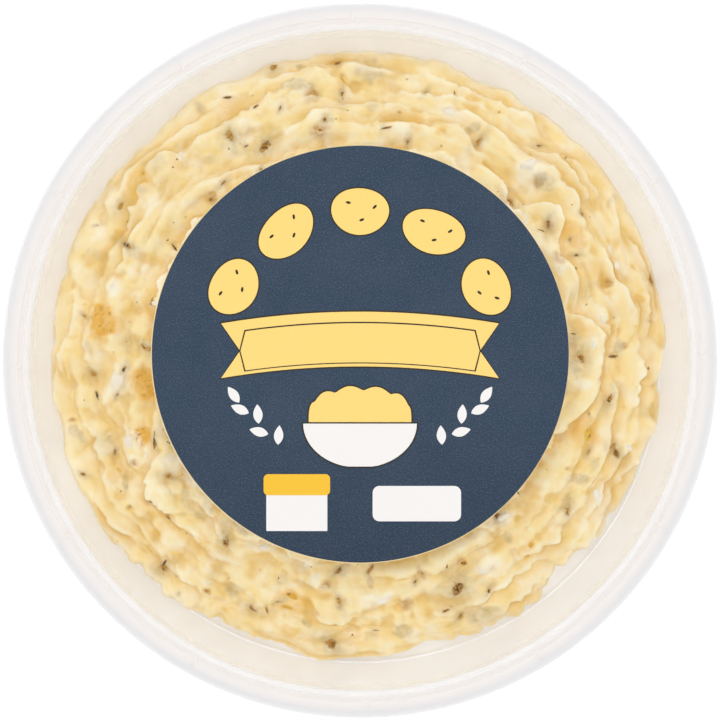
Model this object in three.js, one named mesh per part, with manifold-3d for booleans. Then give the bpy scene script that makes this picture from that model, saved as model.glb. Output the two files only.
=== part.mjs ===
// Potato salad in its shut round tub: a milky tub, the salad heaped in it, a clear snap-on lid and
// a round label stuck on the lid. Millimetres, +Z up, origin on the table under the tub's middle.

import * as THREE from 'three';
import { mergeVertices } from 'three/addons/utils/BufferGeometryUtils.js';
import Module from 'manifold-3d';

// Driving dimensions of the tub
const TURN_STEPS = 60; // facets round the tub, lid and label
const WALL = 0.8;
const FLOOR = 2; // height of the tub's inner floor
const FLOOR_THICKNESS = 0.7;
const FLOOR_RADIUS = 74.2; // where the inner wall would meet the floor
const FLOOR_FLAT = 72.8; // edge of the flat floor, inside the rounded corner
const CORNER_TOP = 3.5; // height where the rounded corner ends
const MOUTH_RADIUS = 78.5; // inside the tub under its flange
const MOUTH_HEIGHT = 42.4;
const FLANGE_TOP = 43.4; // flat face that the lid rests on
const FLANGE_RADIUS = 83.7;
const FLANGE_THICKNESS = 0.9;
const FLANGE_HEM = 3; // the flange's outer edge turns down this far
const FOOT_INNER = 66.5; // the base stands on a ring, and its middle is raised
const FOOT_OUTER = 71.4;

// Driving dimensions of the lid
const OUTER_RADIUS = 85; // over the skirt
const LID_WALL = 0.6;
const SKIRT_WALL = 0.7;
const SKIRT_BOTTOM = 39.2;
const PANEL_TOP = 41.2; // the lid's flat middle, sunk below its rim
const PANEL_RADIUS = 76.6;
const RIM_TOP = 44.4; // flat ring between the groove and the rounded edge
const RIM_ROUND = 2.1;
const GROOVE_RADIUS = 80.7;
const GROOVE_FLOOR = 44.1;
const BEAD_RADIUS = 79.4;
const BEAD_TOP = 44.8;

// Small ribs across the lid's groove
const RIB_COUNT = 12;
const RIB_FIRST_ANGLE = THREE.MathUtils.degToRad(1.2);
const RIB_INNER = 80.3;
const RIB_OUTER = 82.7;
const RIB_WIDTH = 0.85;
const RIB_TOP = 44.65;

// Label
const LABEL_RADIUS = 49.7;
const LABEL_THICKNESS = 0.2;
const LABEL_OFFSET_Y = 1.4;

// The salad: folds lie over each other like slates, each set back from the one below
const SALAD_RADIUS = 74; // mean outline
const LEAN = 1.6; // the heap lies this much nearer to one side of the tub
const LEAN_ANGLE = THREE.MathUtils.degToRad(114);
const WALL_GAP = 0.35;
const EDGE_HEIGHT = 17; // top of the lowest fold above the table
const EDGE_SWING = 4;
const FOLD_COUNT = 10;
const FOLD_SETBACK = 3.6;
const FOLD_RISE = 2;
const FOLD_SLOPE = 0.15; // how fast a fold's top rises inwards
const FOLD_HUMP = 0.65; // how far a fold's back stands up behind its lip
const HUMP_WIDTH = 5.5;
const FOLD_TURNS = 0.6; // folds wind inwards and back, by this many setbacks in a full turn
const LIP_WIDTH = 1.7;
const LIP_DEPTH = 2.3;
const CROWN_HEIGHT = 35;
const CROWN_DROP = 0.0053; // per mm of radius squared
const TONGUE_COUNT = 14; // short stretches where a fold reaches further out
const BULGE_COUNT = 60; // pieces of potato covered by the dressing
const FOLD_SEED = 305;
const TONGUE_SEED = 7717;
const SWELL_SEED = 613;
const BULGE_SEED = 2909;
const RING_STEPS = 80; // points round the heap
const INNER_RINGS = [10, 21, 31]; // radii of the rings inside the innermost fold
const FRONT_RINGS = [-0.1, 0.4, 1.7]; // rings at these distances inside the front of each fold
const RING_GAP = 0.12; // least distance between rings

// Pieces that stand out of the salad
const CHUNK_SEED = 977;
const CHUNK_COUNT = 26; // egg white and potato
const CHUNK_LENGTH = [3.5, 8];
const FLECK_SEED = 5381;
const FLECK_COUNT = 26; // gherkin and herb
const FLECK_LENGTH = [1.6, 3.6];
const PIECES_FROM = 0.66; // of the heap's radius, just under the label's edge
const PIECES_TO = 0.93;

const COLOURS = { tub: 0xf3efe8, salad: 0xf2d9a4, lid: 0xf4f3f1, label: 0x3e4c5f };

// Repeatable random numbers from 0 to 1
function randomSource(seed) {
  let state = seed;
  const next = () => {
    state = (state * 16807) % 2147483647;
    return state / 2147483647;
  };
  for (let i = 0; i < 8; i += 1) {
    next();
  }
  return next;
}

// A wavy function of the angle, with whole numbers of cycles in a turn. A plain wave is a sine, and
// a lobed one has round lobes with sharp notches between them.
function angularWaves(random, bands) {
  const waves = [];
  for (const { from, to, count, size, lobed } of bands) {
    for (let i = 0; i < count; i += 1) {
      const cycles = from + Math.floor(random() * (to - from + 1));
      const phase = random() * 2 * Math.PI;
      waves.push({ cycles, phase, size: size * (0.6 + 0.8 * random()), lobed });
    }
  }
  const value = ({ cycles, phase, size, lobed }, angle) => (lobed
    ? size * (2 * Math.abs(Math.sin((cycles * angle) / 2 + phase)) - 4 / Math.PI)
    : size * Math.sin(cycles * angle + phase));
  return (angle) => waves.reduce((sum, wave) => sum + value(wave, angle), 0);
}

// A lumpy function of the place, from crossing sine waves
function lumps(random, count, lengths, size) {
  const waves = [];
  for (let i = 0; i < count; i += 1) {
    const heading = random() * 2 * Math.PI;
    const number = (2 * Math.PI) / (lengths[0] + (lengths[1] - lengths[0]) * random());
    const phase = random() * 2 * Math.PI;
    waves.push({ kx: number * Math.cos(heading), ky: number * Math.sin(heading), phase });
  }
  return (x, y) => waves.reduce((sum, w) => sum + size * Math.sin(w.kx * x + w.ky * y + w.phase), 0);
}

function wallRadius(height) {
  const share = (height - FLOOR) / (MOUTH_HEIGHT - FLOOR);
  return FLOOR_RADIUS + (MOUTH_RADIUS - FLOOR_RADIUS) * share;
}

// Rounded front edge of a fold: how far it drops at this distance inside its outline
function lipDrop(inside) {
  if (inside >= LIP_WIDTH) {
    return 0;
  }
  const out = 1 - Math.max(inside, 0) / LIP_WIDTH;
  return LIP_DEPTH * (1 - Math.sqrt(Math.max(1 - out * out, 0)));
}

// The folds that run round the heap, each with its own outline and height
function makeFolds() {
  const folds = [];
  for (let index = 0; index < FOLD_COUNT; index += 1) {
    const random = randomSource(FOLD_SEED + 31 * index);
    const outline = angularWaves(random, [
      { from: 2, to: 5, count: 3, size: 0.85, lobed: false },
      { from: 7, to: 13, count: 2, size: 0.5, lobed: true },
      { from: 15, to: 26, count: 3, size: 0.28, lobed: true },
    ]);
    const height = angularWaves(random, [
      { from: 2, to: 4, count: 2, size: 0.6, lobed: false },
      { from: 5, to: 11, count: 3, size: 0.42, lobed: false },
    ]);
    folds.push({ index, outline, height, tongues: [] });
  }
  return folds;
}

function addTongue(fold, degrees, reach, spread, lift) {
  const { degToRad } = THREE.MathUtils;
  fold.tongues.push({ angle: degToRad(degrees), reach, spread: degToRad(spread), lift });
}

// Two large tongues beside the label, and the rest by a rule
function addTongues(folds) {
  addTongue(folds[6], -4, 7.5, 17, 1.6);
  addTongue(folds[6], 214, 8.5, 10, 1.6);
  const random = randomSource(TONGUE_SEED);
  for (let i = 0; i < TONGUE_COUNT; i += 1) {
    const fold = folds[1 + Math.floor(random() * 6)];
    const degrees = (360 * (i + 0.8 * random())) / TONGUE_COUNT;
    const reach = 1.5 + 2.2 * random();
    const spread = 4 + 6 * random();
    addTongue(fold, degrees, reach, spread, 0.3 + 0.6 * random());
  }
}

// Low mounds where pieces of potato lie under the dressing, more of them on one side
function makeBulges() {
  const random = randomSource(BULGE_SEED);
  const bulges = [];
  for (let i = 0; i < BULGE_COUNT; i += 1) {
    const angle = (2 * Math.PI * (i + 0.9 * random())) / BULGE_COUNT;
    const radius = 50 + 20 * random();
    const size = 2.2 + 3.2 * random() ** 2;
    const lumpy = 0.675 + 0.325 * Math.cos(angle - THREE.MathUtils.degToRad(200));
    const height = 0.24 * size * lumpy;
    bulges.push({ x: radius * Math.cos(angle), y: radius * Math.sin(angle), size, height });
  }
  return bulges;
}

const folds = makeFolds();
addTongues(folds);
const bulges = makeBulges();
const swellRandom = randomSource(SWELL_SEED);
const swell = lumps(swellRandom, 6, [9, 22], 0.2);
const drift = lumps(swellRandom, 5, [14, 30], 0.45);

// Share of a tongue at this angle, from 1 in its middle to 0 at its ends
function tongueShare(angle, tongue, power, wider) {
  const turns = (angle - tongue.angle) / (2 * Math.PI);
  const apart = (2 * Math.PI * (turns - Math.round(turns))) / (tongue.spread * wider);
  return Math.max(1 - apart * apart, 0) ** power;
}

function foldHeight(fold, angle) {
  const swing = EDGE_SWING * Math.cos(angle - LEAN_ANGLE) * (1 - fold.index / FOLD_COUNT);
  const level = fold.index * FOLD_RISE * (1 - 0.03 * fold.index);
  const lift = fold.tongues.reduce((sum, t) => sum + t.lift * tongueShare(angle, t, 2, 1.5), 0);
  return EDGE_HEIGHT + swing + level + fold.height(angle) + lift;
}

function meanRadius(angle) {
  return SALAD_RADIUS + LEAN * Math.cos(angle - LEAN_ANGLE);
}

// The outline of the heap itself, kept clear of the tub's wall
function heapRadius(angle) {
  const lowest = folds[0];
  const pressed = 0.25 * (1 + Math.sin(9 * angle));
  const limit = wallRadius(foldHeight(lowest, angle) - LIP_DEPTH) - WALL_GAP - pressed;
  return Math.min(meanRadius(angle) + lowest.outline(angle), limit);
}

function foldRadius(fold, angle) {
  if (fold.index === 0) {
    return heapRadius(angle);
  }
  const setback = (fold.index + FOLD_TURNS * Math.sin(angle / 2) ** 2) * FOLD_SETBACK;
  const reach = fold.tongues.reduce((sum, t) => sum + t.reach * tongueShare(angle, t, 0.8, 1), 0);
  return meanRadius(angle) - setback + fold.outline(angle) + reach;
}

// Height of the top of one fold, this far inside its outline
function foldTop(fold, angle, inside) {
  const hump = FOLD_HUMP * Math.sin(Math.PI * Math.min(inside / HUMP_WIDTH, 1));
  const rise = FOLD_SLOPE * Math.min(inside, 2 * FOLD_SETBACK);
  return foldHeight(fold, angle) + rise + hump - lipDrop(inside);
}

// Height of the salad's surface above the table
function saladSurface(radius, angle) {
  const x = radius * Math.cos(angle);
  const y = radius * Math.sin(angle);
  const drifted = radius + drift(x, y);
  let top = CROWN_HEIGHT - CROWN_DROP * radius * radius;
  for (const fold of folds) {
    const inside = foldRadius(fold, angle) - (fold.index === 0 ? radius : drifted);
    if (inside >= 0) {
      top = Math.max(top, foldTop(fold, angle, inside));
    }
  }
  for (const bulge of bulges) {
    const away = Math.hypot(x - bulge.x, y - bulge.y) / bulge.size;
    top += bulge.height * Math.max(1 - away * away, 0) ** 1.5;
  }
  return top + swell(x, y);
}

// Where the front of a fold lies at this angle, once it has drifted
function frontRadius(fold, angle) {
  const radius = foldRadius(fold, angle);
  return radius - drift(radius * Math.cos(angle), radius * Math.sin(angle));
}

// Radii of the surface's rings at this angle, from the middle out. They follow the folds' fronts,
// so that each front is a sharp step.
function surfaceRadii(angle) {
  const rim = heapRadius(angle);
  const radii = [...INNER_RINGS, rim - FRONT_RINGS[2], rim - FRONT_RINGS[1], rim];
  for (const fold of folds.slice(1)) {
    const front = frontRadius(fold, angle);
    radii.push(...FRONT_RINGS.map((inside) => front - inside));
  }
  radii.sort((a, b) => a - b);
  radii[radii.length - 1] = rim;
  for (let i = radii.length - 2; i >= 0; i -= 1) {
    radii[i] = Math.min(radii[i], radii[i + 1] - RING_GAP);
  }
  return radii;
}

// Points down the heap's side at this angle, from under its rim to the floor
function sidePoints(angle) {
  const rim = heapRadius(angle);
  const drop = saladSurface(rim, angle) - FLOOR;
  const points = [{ share: 0.6, bulge: 0.4 }, { share: 0.25, bulge: 0 }].map(({ share, bulge }) => {
    const height = FLOOR + share * drop;
    return { radius: Math.min(rim + bulge, wallRadius(height) - WALL_GAP), height };
  });
  return [...points, { radius: Math.min(rim - 1.2, FLOOR_FLAT - 0.6), height: FLOOR }];
}

// Closed mesh over the rings, with a point in the middle of its top and of its flat bottom
function heapGeometry() {
  const spokes = Array.from({ length: RING_STEPS }, (_, step) => {
    const angle = (step / RING_STEPS) * 2 * Math.PI;
    const top = surfaceRadii(angle).map((radius) => ({ radius, height: saladSurface(radius, angle) }));
    return { angle, points: [...top, ...sidePoints(angle)] };
  });
  const count = spokes[0].points.length;
  const positions = [0, 0, saladSurface(0, 0)];
  for (const { angle, points } of spokes) {
    for (const { radius, height } of points) {
      positions.push(radius * Math.cos(angle), radius * Math.sin(angle), height);
    }
  }
  positions.push(0, 0, FLOOR);
  const last = positions.length / 3 - 1;
  const at = (ring, step) => 1 + (step % RING_STEPS) * count + ring;
  const faces = [];
  for (let j = 0; j < RING_STEPS; j += 1) {
    faces.push(0, at(0, j), at(0, j + 1));
    for (let i = 0; i < count - 1; i += 1) {
      faces.push(at(i, j), at(i + 1, j), at(i + 1, j + 1));
      faces.push(at(i, j), at(i + 1, j + 1), at(i, j + 1));
    }
    faces.push(at(count - 1, j), last, at(count - 1, j + 1));
  }
  const geometry = new THREE.BufferGeometry();
  geometry.setAttribute('position', new THREE.Float32BufferAttribute(positions, 3));
  geometry.setIndex(faces);
  return geometry;
}

// Places on the heap's surface, spread evenly round it
function spreadPlaces(random, count) {
  const places = [];
  for (let i = 0; i < count; i += 1) {
    const angle = ((i + 0.9 * random()) / count) * 2 * Math.PI;
    const share = PIECES_FROM + (PIECES_TO - PIECES_FROM) * random();
    const radius = share * heapRadius(angle);
    places.push({
      x: radius * Math.cos(angle),
      y: radius * Math.sin(angle),
      z: saladSurface(radius, angle),
      turn: random() * Math.PI,
    });
  }
  return places;
}

function pieceGeometry(shape, place, sunk) {
  shape.rotateZ(place.turn);
  shape.translate(place.x, place.y, place.z - sunk);
  return shape;
}

// Rounded lumps of egg white and potato, sunk to about their middles
function chunkGeometries() {
  const random = randomSource(CHUNK_SEED);
  return spreadPlaces(random, CHUNK_COUNT).map((place) => {
    const length = CHUNK_LENGTH[0] + (CHUNK_LENGTH[1] - CHUNK_LENGTH[0]) * random() ** 2;
    const shape = new THREE.IcosahedronGeometry(0.5, 0);
    shape.scale(length, length * (0.55 + 0.25 * random()), length * 0.45);
    return pieceGeometry(shape, place, length * 0.1);
  });
}

// Thin cut bits of gherkin and herb
function fleckGeometries() {
  const random = randomSource(FLECK_SEED);
  return spreadPlaces(random, FLECK_COUNT).map((place) => {
    const length = FLECK_LENGTH[0] + (FLECK_LENGTH[1] - FLECK_LENGTH[0]) * random();
    const shape = new THREE.BoxGeometry(length, length * (0.35 + 0.25 * random()), 1.2);
    return pieceGeometry(shape, place, 0.3);
  });
}

// Solid turned from a closed outline of [radius, height] points
function turned(outline) {
  const points = outline.map(([radius, height]) => new THREE.Vector2(radius, height));
  const geometry = new THREE.LatheGeometry(points, TURN_STEPS);
  geometry.rotateX(Math.PI / 2);
  return geometry;
}

// Points on a curve from one point to another, bent towards a corner
function bend(from, corner, to, steps) {
  const curve = new THREE.QuadraticBezierCurve(
    new THREE.Vector2(...from),
    new THREE.Vector2(...corner),
    new THREE.Vector2(...to),
  );
  return curve.getPoints(steps).map((point) => [point.x, point.y]);
}

function tubOutline() {
  const under = FLOOR - FLOOR_THICKNESS;
  const outside = (height) => [wallRadius(height) + WALL, height];
  const inside = (height) => [wallRadius(height), height];
  const flangeUnder = FLANGE_TOP - FLANGE_THICKNESS;
  const hemInner = FLANGE_RADIUS - WALL;
  const hemBottom = FLANGE_TOP - FLANGE_HEM;
  return [
    [0, under],
    [FOOT_INNER - 1.2, under],
    [FOOT_INNER, 0],
    ...bend([FOOT_OUTER, 0], outside(0), outside(CORNER_TOP), 3),
    ...bend(outside(flangeUnder - 0.9), outside(flangeUnder), [80.1, flangeUnder], 1),
    [hemInner, flangeUnder],
    [hemInner, hemBottom],
    [FLANGE_RADIUS, hemBottom],
    ...bend([FLANGE_RADIUS, FLANGE_TOP - 0.8], [FLANGE_RADIUS, FLANGE_TOP], [hemInner, FLANGE_TOP], 2),
    ...bend([79.3, FLANGE_TOP], [MOUTH_RADIUS, FLANGE_TOP], [MOUTH_RADIUS, MOUTH_HEIGHT], 2),
    ...bend(inside(CORNER_TOP), inside(FLOOR), [FLOOR_FLAT, FLOOR], 2),
    [0, FLOOR],
  ];
}

function lidOutline() {
  const skirtInner = OUTER_RADIUS - SKIRT_WALL;
  const under = PANEL_TOP - LID_WALL;
  const rimFlat = OUTER_RADIUS - RIM_ROUND;
  return [
    [0, under],
    [PANEL_RADIUS + LID_WALL, under],
    [BEAD_RADIUS - 0.8, BEAD_TOP - 0.9],
    [BEAD_RADIUS, BEAD_TOP - 0.9],
    [BEAD_RADIUS + 0.5, FLANGE_TOP],
    ...bend([skirtInner - 1.1, FLANGE_TOP], [skirtInner, FLANGE_TOP], [skirtInner, FLANGE_TOP - 1.2], 2),
    [skirtInner, SKIRT_BOTTOM],
    [OUTER_RADIUS, SKIRT_BOTTOM],
    ...bend([OUTER_RADIUS, RIM_TOP - RIM_ROUND], [OUTER_RADIUS, RIM_TOP], [rimFlat, RIM_TOP], 3),
    [GROOVE_RADIUS + 0.6, RIM_TOP],
    [GROOVE_RADIUS + 0.2, GROOVE_FLOOR],
    [GROOVE_RADIUS - 0.2, GROOVE_FLOOR],
    [BEAD_RADIUS + 0.6, BEAD_TOP - 0.2],
    [BEAD_RADIUS, BEAD_TOP],
    [BEAD_RADIUS - 0.7, BEAD_TOP - 0.1],
    [BEAD_RADIUS - 1.2, BEAD_TOP - 0.6],
    [PANEL_RADIUS + 0.4, PANEL_TOP + 0.3],
    [PANEL_RADIUS, PANEL_TOP],
    [0, PANEL_TOP],
  ];
}

function ribGeometry(index) {
  const height = RIB_TOP - GROOVE_FLOOR + 0.2;
  const rib = new THREE.BoxGeometry(RIB_OUTER - RIB_INNER, RIB_WIDTH, height);
  rib.translate((RIB_INNER + RIB_OUTER) / 2, 0, RIB_TOP - height / 2);
  rib.rotateZ(RIB_FIRST_ANGLE + (index / RIB_COUNT) * 2 * Math.PI);
  return rib;
}

// A closed mesh as a solid that can be joined to others
function solidOf(geometry, wasm) {
  geometry.deleteAttribute('normal');
  geometry.deleteAttribute('uv');
  const merged = mergeVertices(geometry);
  return new wasm.Manifold(new wasm.Mesh({
    numProp: 3,
    vertProperties: new Float32Array(merged.attributes.position.array),
    triVerts: new Uint32Array(merged.index.array),
  }));
}

function geometryOf(solid) {
  const { vertProperties, triVerts } = solid.getMesh();
  const geometry = new THREE.BufferGeometry();
  geometry.setAttribute('position', new THREE.BufferAttribute(vertProperties, 3));
  geometry.setIndex(new THREE.BufferAttribute(triVerts, 1));
  geometry.computeVertexNormals();
  return geometry;
}

function joined(geometries, wasm) {
  const solids = geometries.map((geometry) => solidOf(geometry, wasm));
  return geometryOf(solids.reduce((whole, solid) => whole.add(solid)));
}

function labelGeometry() {
  const disc = new THREE.CylinderGeometry(LABEL_RADIUS, LABEL_RADIUS, LABEL_THICKNESS, TURN_STEPS);
  disc.rotateX(Math.PI / 2);
  return disc;
}

function named(name, geometry, roughness) {
  const material = new THREE.MeshStandardMaterial({ color: COLOURS[name], roughness, metalness: 0 });
  const mesh = new THREE.Mesh(geometry, material);
  mesh.name = name;
  return mesh;
}

const wasm = await Module();
wasm.setup();

const tub = named('tub', turned(tubOutline()), 0.4);

const pieces = [...chunkGeometries(), ...fleckGeometries()];
const salad = named('salad', joined([heapGeometry(), ...pieces], wasm), 0.5);

const ribs = Array.from({ length: RIB_COUNT }, (_, index) => ribGeometry(index));
const lid = named('lid', joined([turned(lidOutline()), ...ribs], wasm), 0.3);

const label = named('label', labelGeometry(), 0.6);
label.position.set(0, LABEL_OFFSET_Y, PANEL_TOP + LABEL_THICKNESS / 2);

const pack = new THREE.Group();
pack.add(tub, salad, lid, label);

export default pack;
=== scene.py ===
"""Shut round tub of potato salad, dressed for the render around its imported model.

The milky tub, the clear lid and the round label are modelled again with finer curves, the print is
laid on the label as thin ink, and the salad is the same heap of folds as in the model, with its
egg, potato, gherkin, herb and pepper as pieces of their own. Sizes are in millimetres until a
mesh is made."""

import math

import bpy
import numpy as np
from mathutils import Matrix, Vector


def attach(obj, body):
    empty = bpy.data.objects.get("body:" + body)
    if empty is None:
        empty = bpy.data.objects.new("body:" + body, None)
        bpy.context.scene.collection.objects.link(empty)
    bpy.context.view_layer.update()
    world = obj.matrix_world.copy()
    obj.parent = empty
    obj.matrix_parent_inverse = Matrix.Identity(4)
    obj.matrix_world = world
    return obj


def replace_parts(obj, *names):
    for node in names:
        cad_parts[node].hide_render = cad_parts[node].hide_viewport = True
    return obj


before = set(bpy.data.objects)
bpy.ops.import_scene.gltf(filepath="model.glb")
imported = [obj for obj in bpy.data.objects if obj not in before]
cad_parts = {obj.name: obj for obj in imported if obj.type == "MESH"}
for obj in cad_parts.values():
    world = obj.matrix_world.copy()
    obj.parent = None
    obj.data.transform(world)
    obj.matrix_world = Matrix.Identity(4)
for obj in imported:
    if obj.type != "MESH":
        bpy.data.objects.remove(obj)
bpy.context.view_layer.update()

MM = 0.001
TAU = 2 * math.pi

# The tub, lid and label, as in the model
FLOOR, FLOOR_THICKNESS, FLOOR_RADIUS, FLOOR_FLAT = 2.0, 0.7, 74.2, 72.8
CORNER_TOP, WALL, MOUTH_RADIUS, MOUTH_HEIGHT = 3.5, 0.8, 78.5, 42.4
FLANGE_TOP, FLANGE_RADIUS, FLANGE_THICKNESS, FLANGE_HEM = 43.4, 83.7, 0.9, 3.0
FOOT_INNER, FOOT_OUTER = 66.5, 71.4
CORNER_LINE_RADIUS, CORNER_LINE_HEIGHT, CORNER_LINE_WIDTH = 74.1, 3.3, 0.44
OUTER_RADIUS, LID_WALL, SKIRT_WALL, SKIRT_BOTTOM = 85.0, 0.6, 0.7, 39.2
LID_UNDER = FLANGE_TOP + 0.06
PANEL_TOP, PANEL_RADIUS = 41.2, 76.6
RIM_TOP, RIM_ROUND = 44.4, 2.1
GROOVE_RADIUS, GROOVE_FLOOR = 80.7, 44.1
BEAD_RADIUS, BEAD_TOP = 79.4, 44.8
RIB_COUNT, RIB_FIRST_ANGLE = 12, math.radians(1.2)
RIB_INNER, RIB_OUTER, RIB_WIDTH, RIB_TOP, RIB_SUNK = 80.3, 82.7, 0.85, 44.65, 0.2
LABEL_RADIUS, LABEL_THICKNESS, LABEL_OFFSET_Y = 49.7, 0.2, 1.4
LABEL_TOP = PANEL_TOP + LABEL_THICKNESS
TURN_STEPS = 240

# The salad's folds, as in the model
SALAD_RADIUS, LEAN, LEAN_ANGLE = 74.0, 1.6, math.radians(114)
WALL_GAP = 0.12
EDGE_HEIGHT, EDGE_SWING = 17.0, 4.0
FOLD_COUNT, FOLD_SETBACK, FOLD_RISE = 10, 3.6, 2.0
FOLD_SLOPE, FOLD_HUMP, HUMP_WIDTH, FOLD_TURNS = 0.15, 0.65, 5.5, 0.6
LIP_WIDTH, LIP_DEPTH = 1.7, 2.3
CROWN_HEIGHT, CROWN_DROP = 35.0, 0.0053
TONGUE_COUNT, BULGE_COUNT = 14, 60
FOLD_SEED, TONGUE_SEED, SWELL_SEED, BULGE_SEED = 305, 7717, 613, 2909
CHUNK_SEED, CHUNK_SHAPE_SEED, CHUNK_COUNT = 977, 4000, 26
FLECK_SEED, FLECK_SHAPE_SEED, FLECK_COUNT = 5381, 6000, 26
PIECES_FROM, PIECES_TO = 0.66, 0.93
# The flecks are thin here, and the model's pieces keep this far from noticed ones
FLECK_THICKNESS, FLECK_SUNK, LUMP_GAP, FLECK_GAP = 0.4, 0.15, 3.2, 2.0
# Two long tongues on one fold: degrees, reach, half a width in degrees, and lift
LONG_TONGUES_ON, LONG_TONGUES = 6, [(-4, 7.5, 17, 1.6), (214, 8.5, 10, 1.6)]

# Where the lowest fold reaches further out or less far, and where the salad stands back from the
# wall: degrees, millimetres and half a width in degrees
RIM_REACHES = [
    (6, 2.2, 10), (34, 3.0, 34), (67, -1.9, 9), (88, 1.8, 20), (122, 3.2, 12), (158, 3.0, 30),
    (223, -2.6, 18), (265, 1.4, 9), (282, 1.8, 30), (315, -0.9, 8), (325, 1.4, 6), (330, -1.7, 36),
]
RIM_DIPS = [
    (47, 0.5, 2.5), (57, 1.0, 4), (67, 1.5, 6), (79, 0.5, 2.5), (101, 0.6, 3), (112, 1.3, 5),
    (128, 0.7, 3), (139, 0.9, 3.5), (147, 0.6, 2.5), (163, 0.5, 3), (176, 0.4, 2), (192, 1.0, 5),
    (208, 0.5, 3),
]

# What the render adds to the heap. A lip has a width, a depth and a distance that it is sunk.
RAGGED_SEED = 151
THIN_SEED, THIN_LIP = 2203, (0.9, 1.2, 0.35)
FINE_SEED, FINE_LIP = 4409, (0.7, 0.9, 0.1)
FINE_PLACES = [0.25, 0.75, 1.3, 1.75, 2.3, 2.8, 3.3, 4.25]
RIM_NOTCH_SEED = 8117
TORN = 0.25
# Where the folds lie slack: degrees, half a width in degrees, share, and the first fold
SLACK = [(266, 36, 0.95, 0), (314, 34, 0.85, 2.6), (188, 26, 0.5, 0.4)]
# Where the dressing lies smooth over the thin folds: degrees, half a width in degrees, millimetres
BURIED = [(266, 30, -2.6), (196, 12, -1.4), (86, 10, -1.2)]
BURIED_INNER, INNER_FROM = [(312, 30, -2.0), (20, 14, -1.4)], 2.6
HEAP_STEPS, HEAP_INNER_STEPS = 1040, 130
HEAP_INNER_RINGS, HEAP_OUTER_RINGS = 7, 84
HEAP_COARSE_RADIUS = 46.5
RING_CROWDING, RING_REACH = 3.0, 0.5
OVERHANG = 0.55
# Painted highlight: its place inside a fold's front and its width. Painted shade below a front: its reach,
# and the step at which it is full
LIP_LINE, LIP_GLOW_WIDTH, CREASE_REACH, CREASE_STEP = 0.6, 0.85, 1.5, 0.6

# Relief of the dressing. A noise has a size in millimetres and a seed, with its height before them
# where it lifts the surface, and a shift in x before the seed where it has one.
NOISE_CELLS = 64
PEBBLES = [(1.0, 5.6, 0, 41), (0.6, 2.9, 30, 42)]
SOFT_LUMPS = [(0.42, 4.2, 43), (0.22, 2.1, 44)]
LUMPY_SIDE, BULGY_SIDE = math.radians(205), math.radians(200)
DRAG_HEIGHT, DRAG_WIDTH, DRAG_SEED, DRAGS_ROUND = 0.14, 1.2, 45, 40
WANDER, WANDER_NOISE = 0.35, (2.4, 31)
# Noises that vary the painted shade in creases and the painted highlight on lips, and the stains' edges
CREASE_NOISE, LIP_NOISE, STAIN_NOISE = (7, 51), (9, 52), (1.4, 61)
CRUMB, CRUMB_SEED, CRUMBS_ROUND = 0.3, 47, 120

# Colours of the tub's wall, and the share of light that it lets through there and at its foot.
# Then a painted glow standing for light that spreads inside the wall: its colours near the salad
# and away from it, and its strength above the foot and at it
TUB_SHADE, TUB_LIGHT, TUB_GLOW, TUB_FOOT_GLOW = "#DEDCD9", "#E2E1DF", 0.42, 0.12
TUB_SPREAD_NEAR, TUB_SPREAD_FAR, TUB_SPREAD_LIGHT, TUB_SPREAD_FOOT = "#F1EDEB", "#F7F8FF", 0.36, 0.25
# A painted glow on the salad, stronger near the label to lift the label's shadow and weaker at its
# edge, and the radii between which it falls
SALAD_SPREAD, SALAD_SPREAD_FROM, SALAD_SPREAD_TO = (0.086, 0.052), 61, 70
# The most that the lid reflects at a grazing look
MOST_SHINE = 0.22

# The print. Places are millimetres from the label's middle, and each shape is a list of points. The
# dark field is printed a little off the middle of the paper, so a pale edge shows on its left.
INK, LINE = 0.03, 0.35
FIELD_PLACE, FIELD_RADIUS = (0.07, 0.05), 49.55
POTATO_ARC, POTATO_UNEVEN = 34.0, 0.03
# Where the painted shade on the dark ink is deepest and where it ends, up the label
INK_FOOT, INK_FULL = -52, -14


def linear(hex_colour):
    """An sRGB hex colour as linear red, green, blue and 1."""
    values = [int(hex_colour[i : i + 2], 16) / 255 for i in (1, 3, 5)]
    straight = [v / 12.92 if v <= 0.04045 else ((v + 0.055) / 1.055) ** 2.4 for v in values]
    return (*straight, 1.0)


def add_node(tree, kind, values=None, output=0):
    """Adds a node and gives one of its outputs. values are its properties and its inputs, and an
    input takes another node's output, a hex colour or a plain value."""
    node = tree.nodes.new("ShaderNode" + kind)
    for name, value in (values or {}).items():
        if isinstance(name, str) and hasattr(node, name):
            setattr(node, name, value)
        elif isinstance(value, bpy.types.NodeSocket):
            tree.links.new(value, node.inputs[name])
        else:
            node.inputs[name].default_value = linear(value) if isinstance(value, str) else value
    return node.outputs[output]


def new_material(name):
    """A material with an empty tree."""
    material = bpy.data.materials.new(name)
    material.use_nodes = True
    material.node_tree.nodes.clear()
    return material, material.node_tree


def finished(material, shader):
    """The material, with this shader as its surface."""
    tree = material.node_tree
    tree.links.new(shader, tree.nodes.new("ShaderNodeOutputMaterial").inputs["Surface"])
    return material


def principled(tree, values):
    """A principled shader."""
    return add_node(tree, "BsdfPrincipled", values)


def shader_mix(tree, share, first, second):
    """Two shaders mixed, with this share of the second."""
    return add_node(tree, "MixShader", {0: share, 1: first, 2: second})


def ramp(tree, factor, stops):
    """A colour ramp with (place, hex colour) stops."""
    colour = add_node(tree, "ValToRGB", {"Fac": factor})
    elements = colour.node.color_ramp.elements
    elements.remove(elements[-1])
    elements[0].position, elements[0].color = stops[0][0], linear(stops[0][1])
    for place, shade in stops[1:]:
        elements.new(place).color = linear(shade)
    return colour


def mixed(tree, factor, first, second):
    """Two colours mixed. They are a Mix node's inputs 6 and 7, and its output 2."""
    return add_node(tree, "Mix", {"data_type": "RGBA", 0: factor, 6: first, 7: second}, 2)


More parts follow.
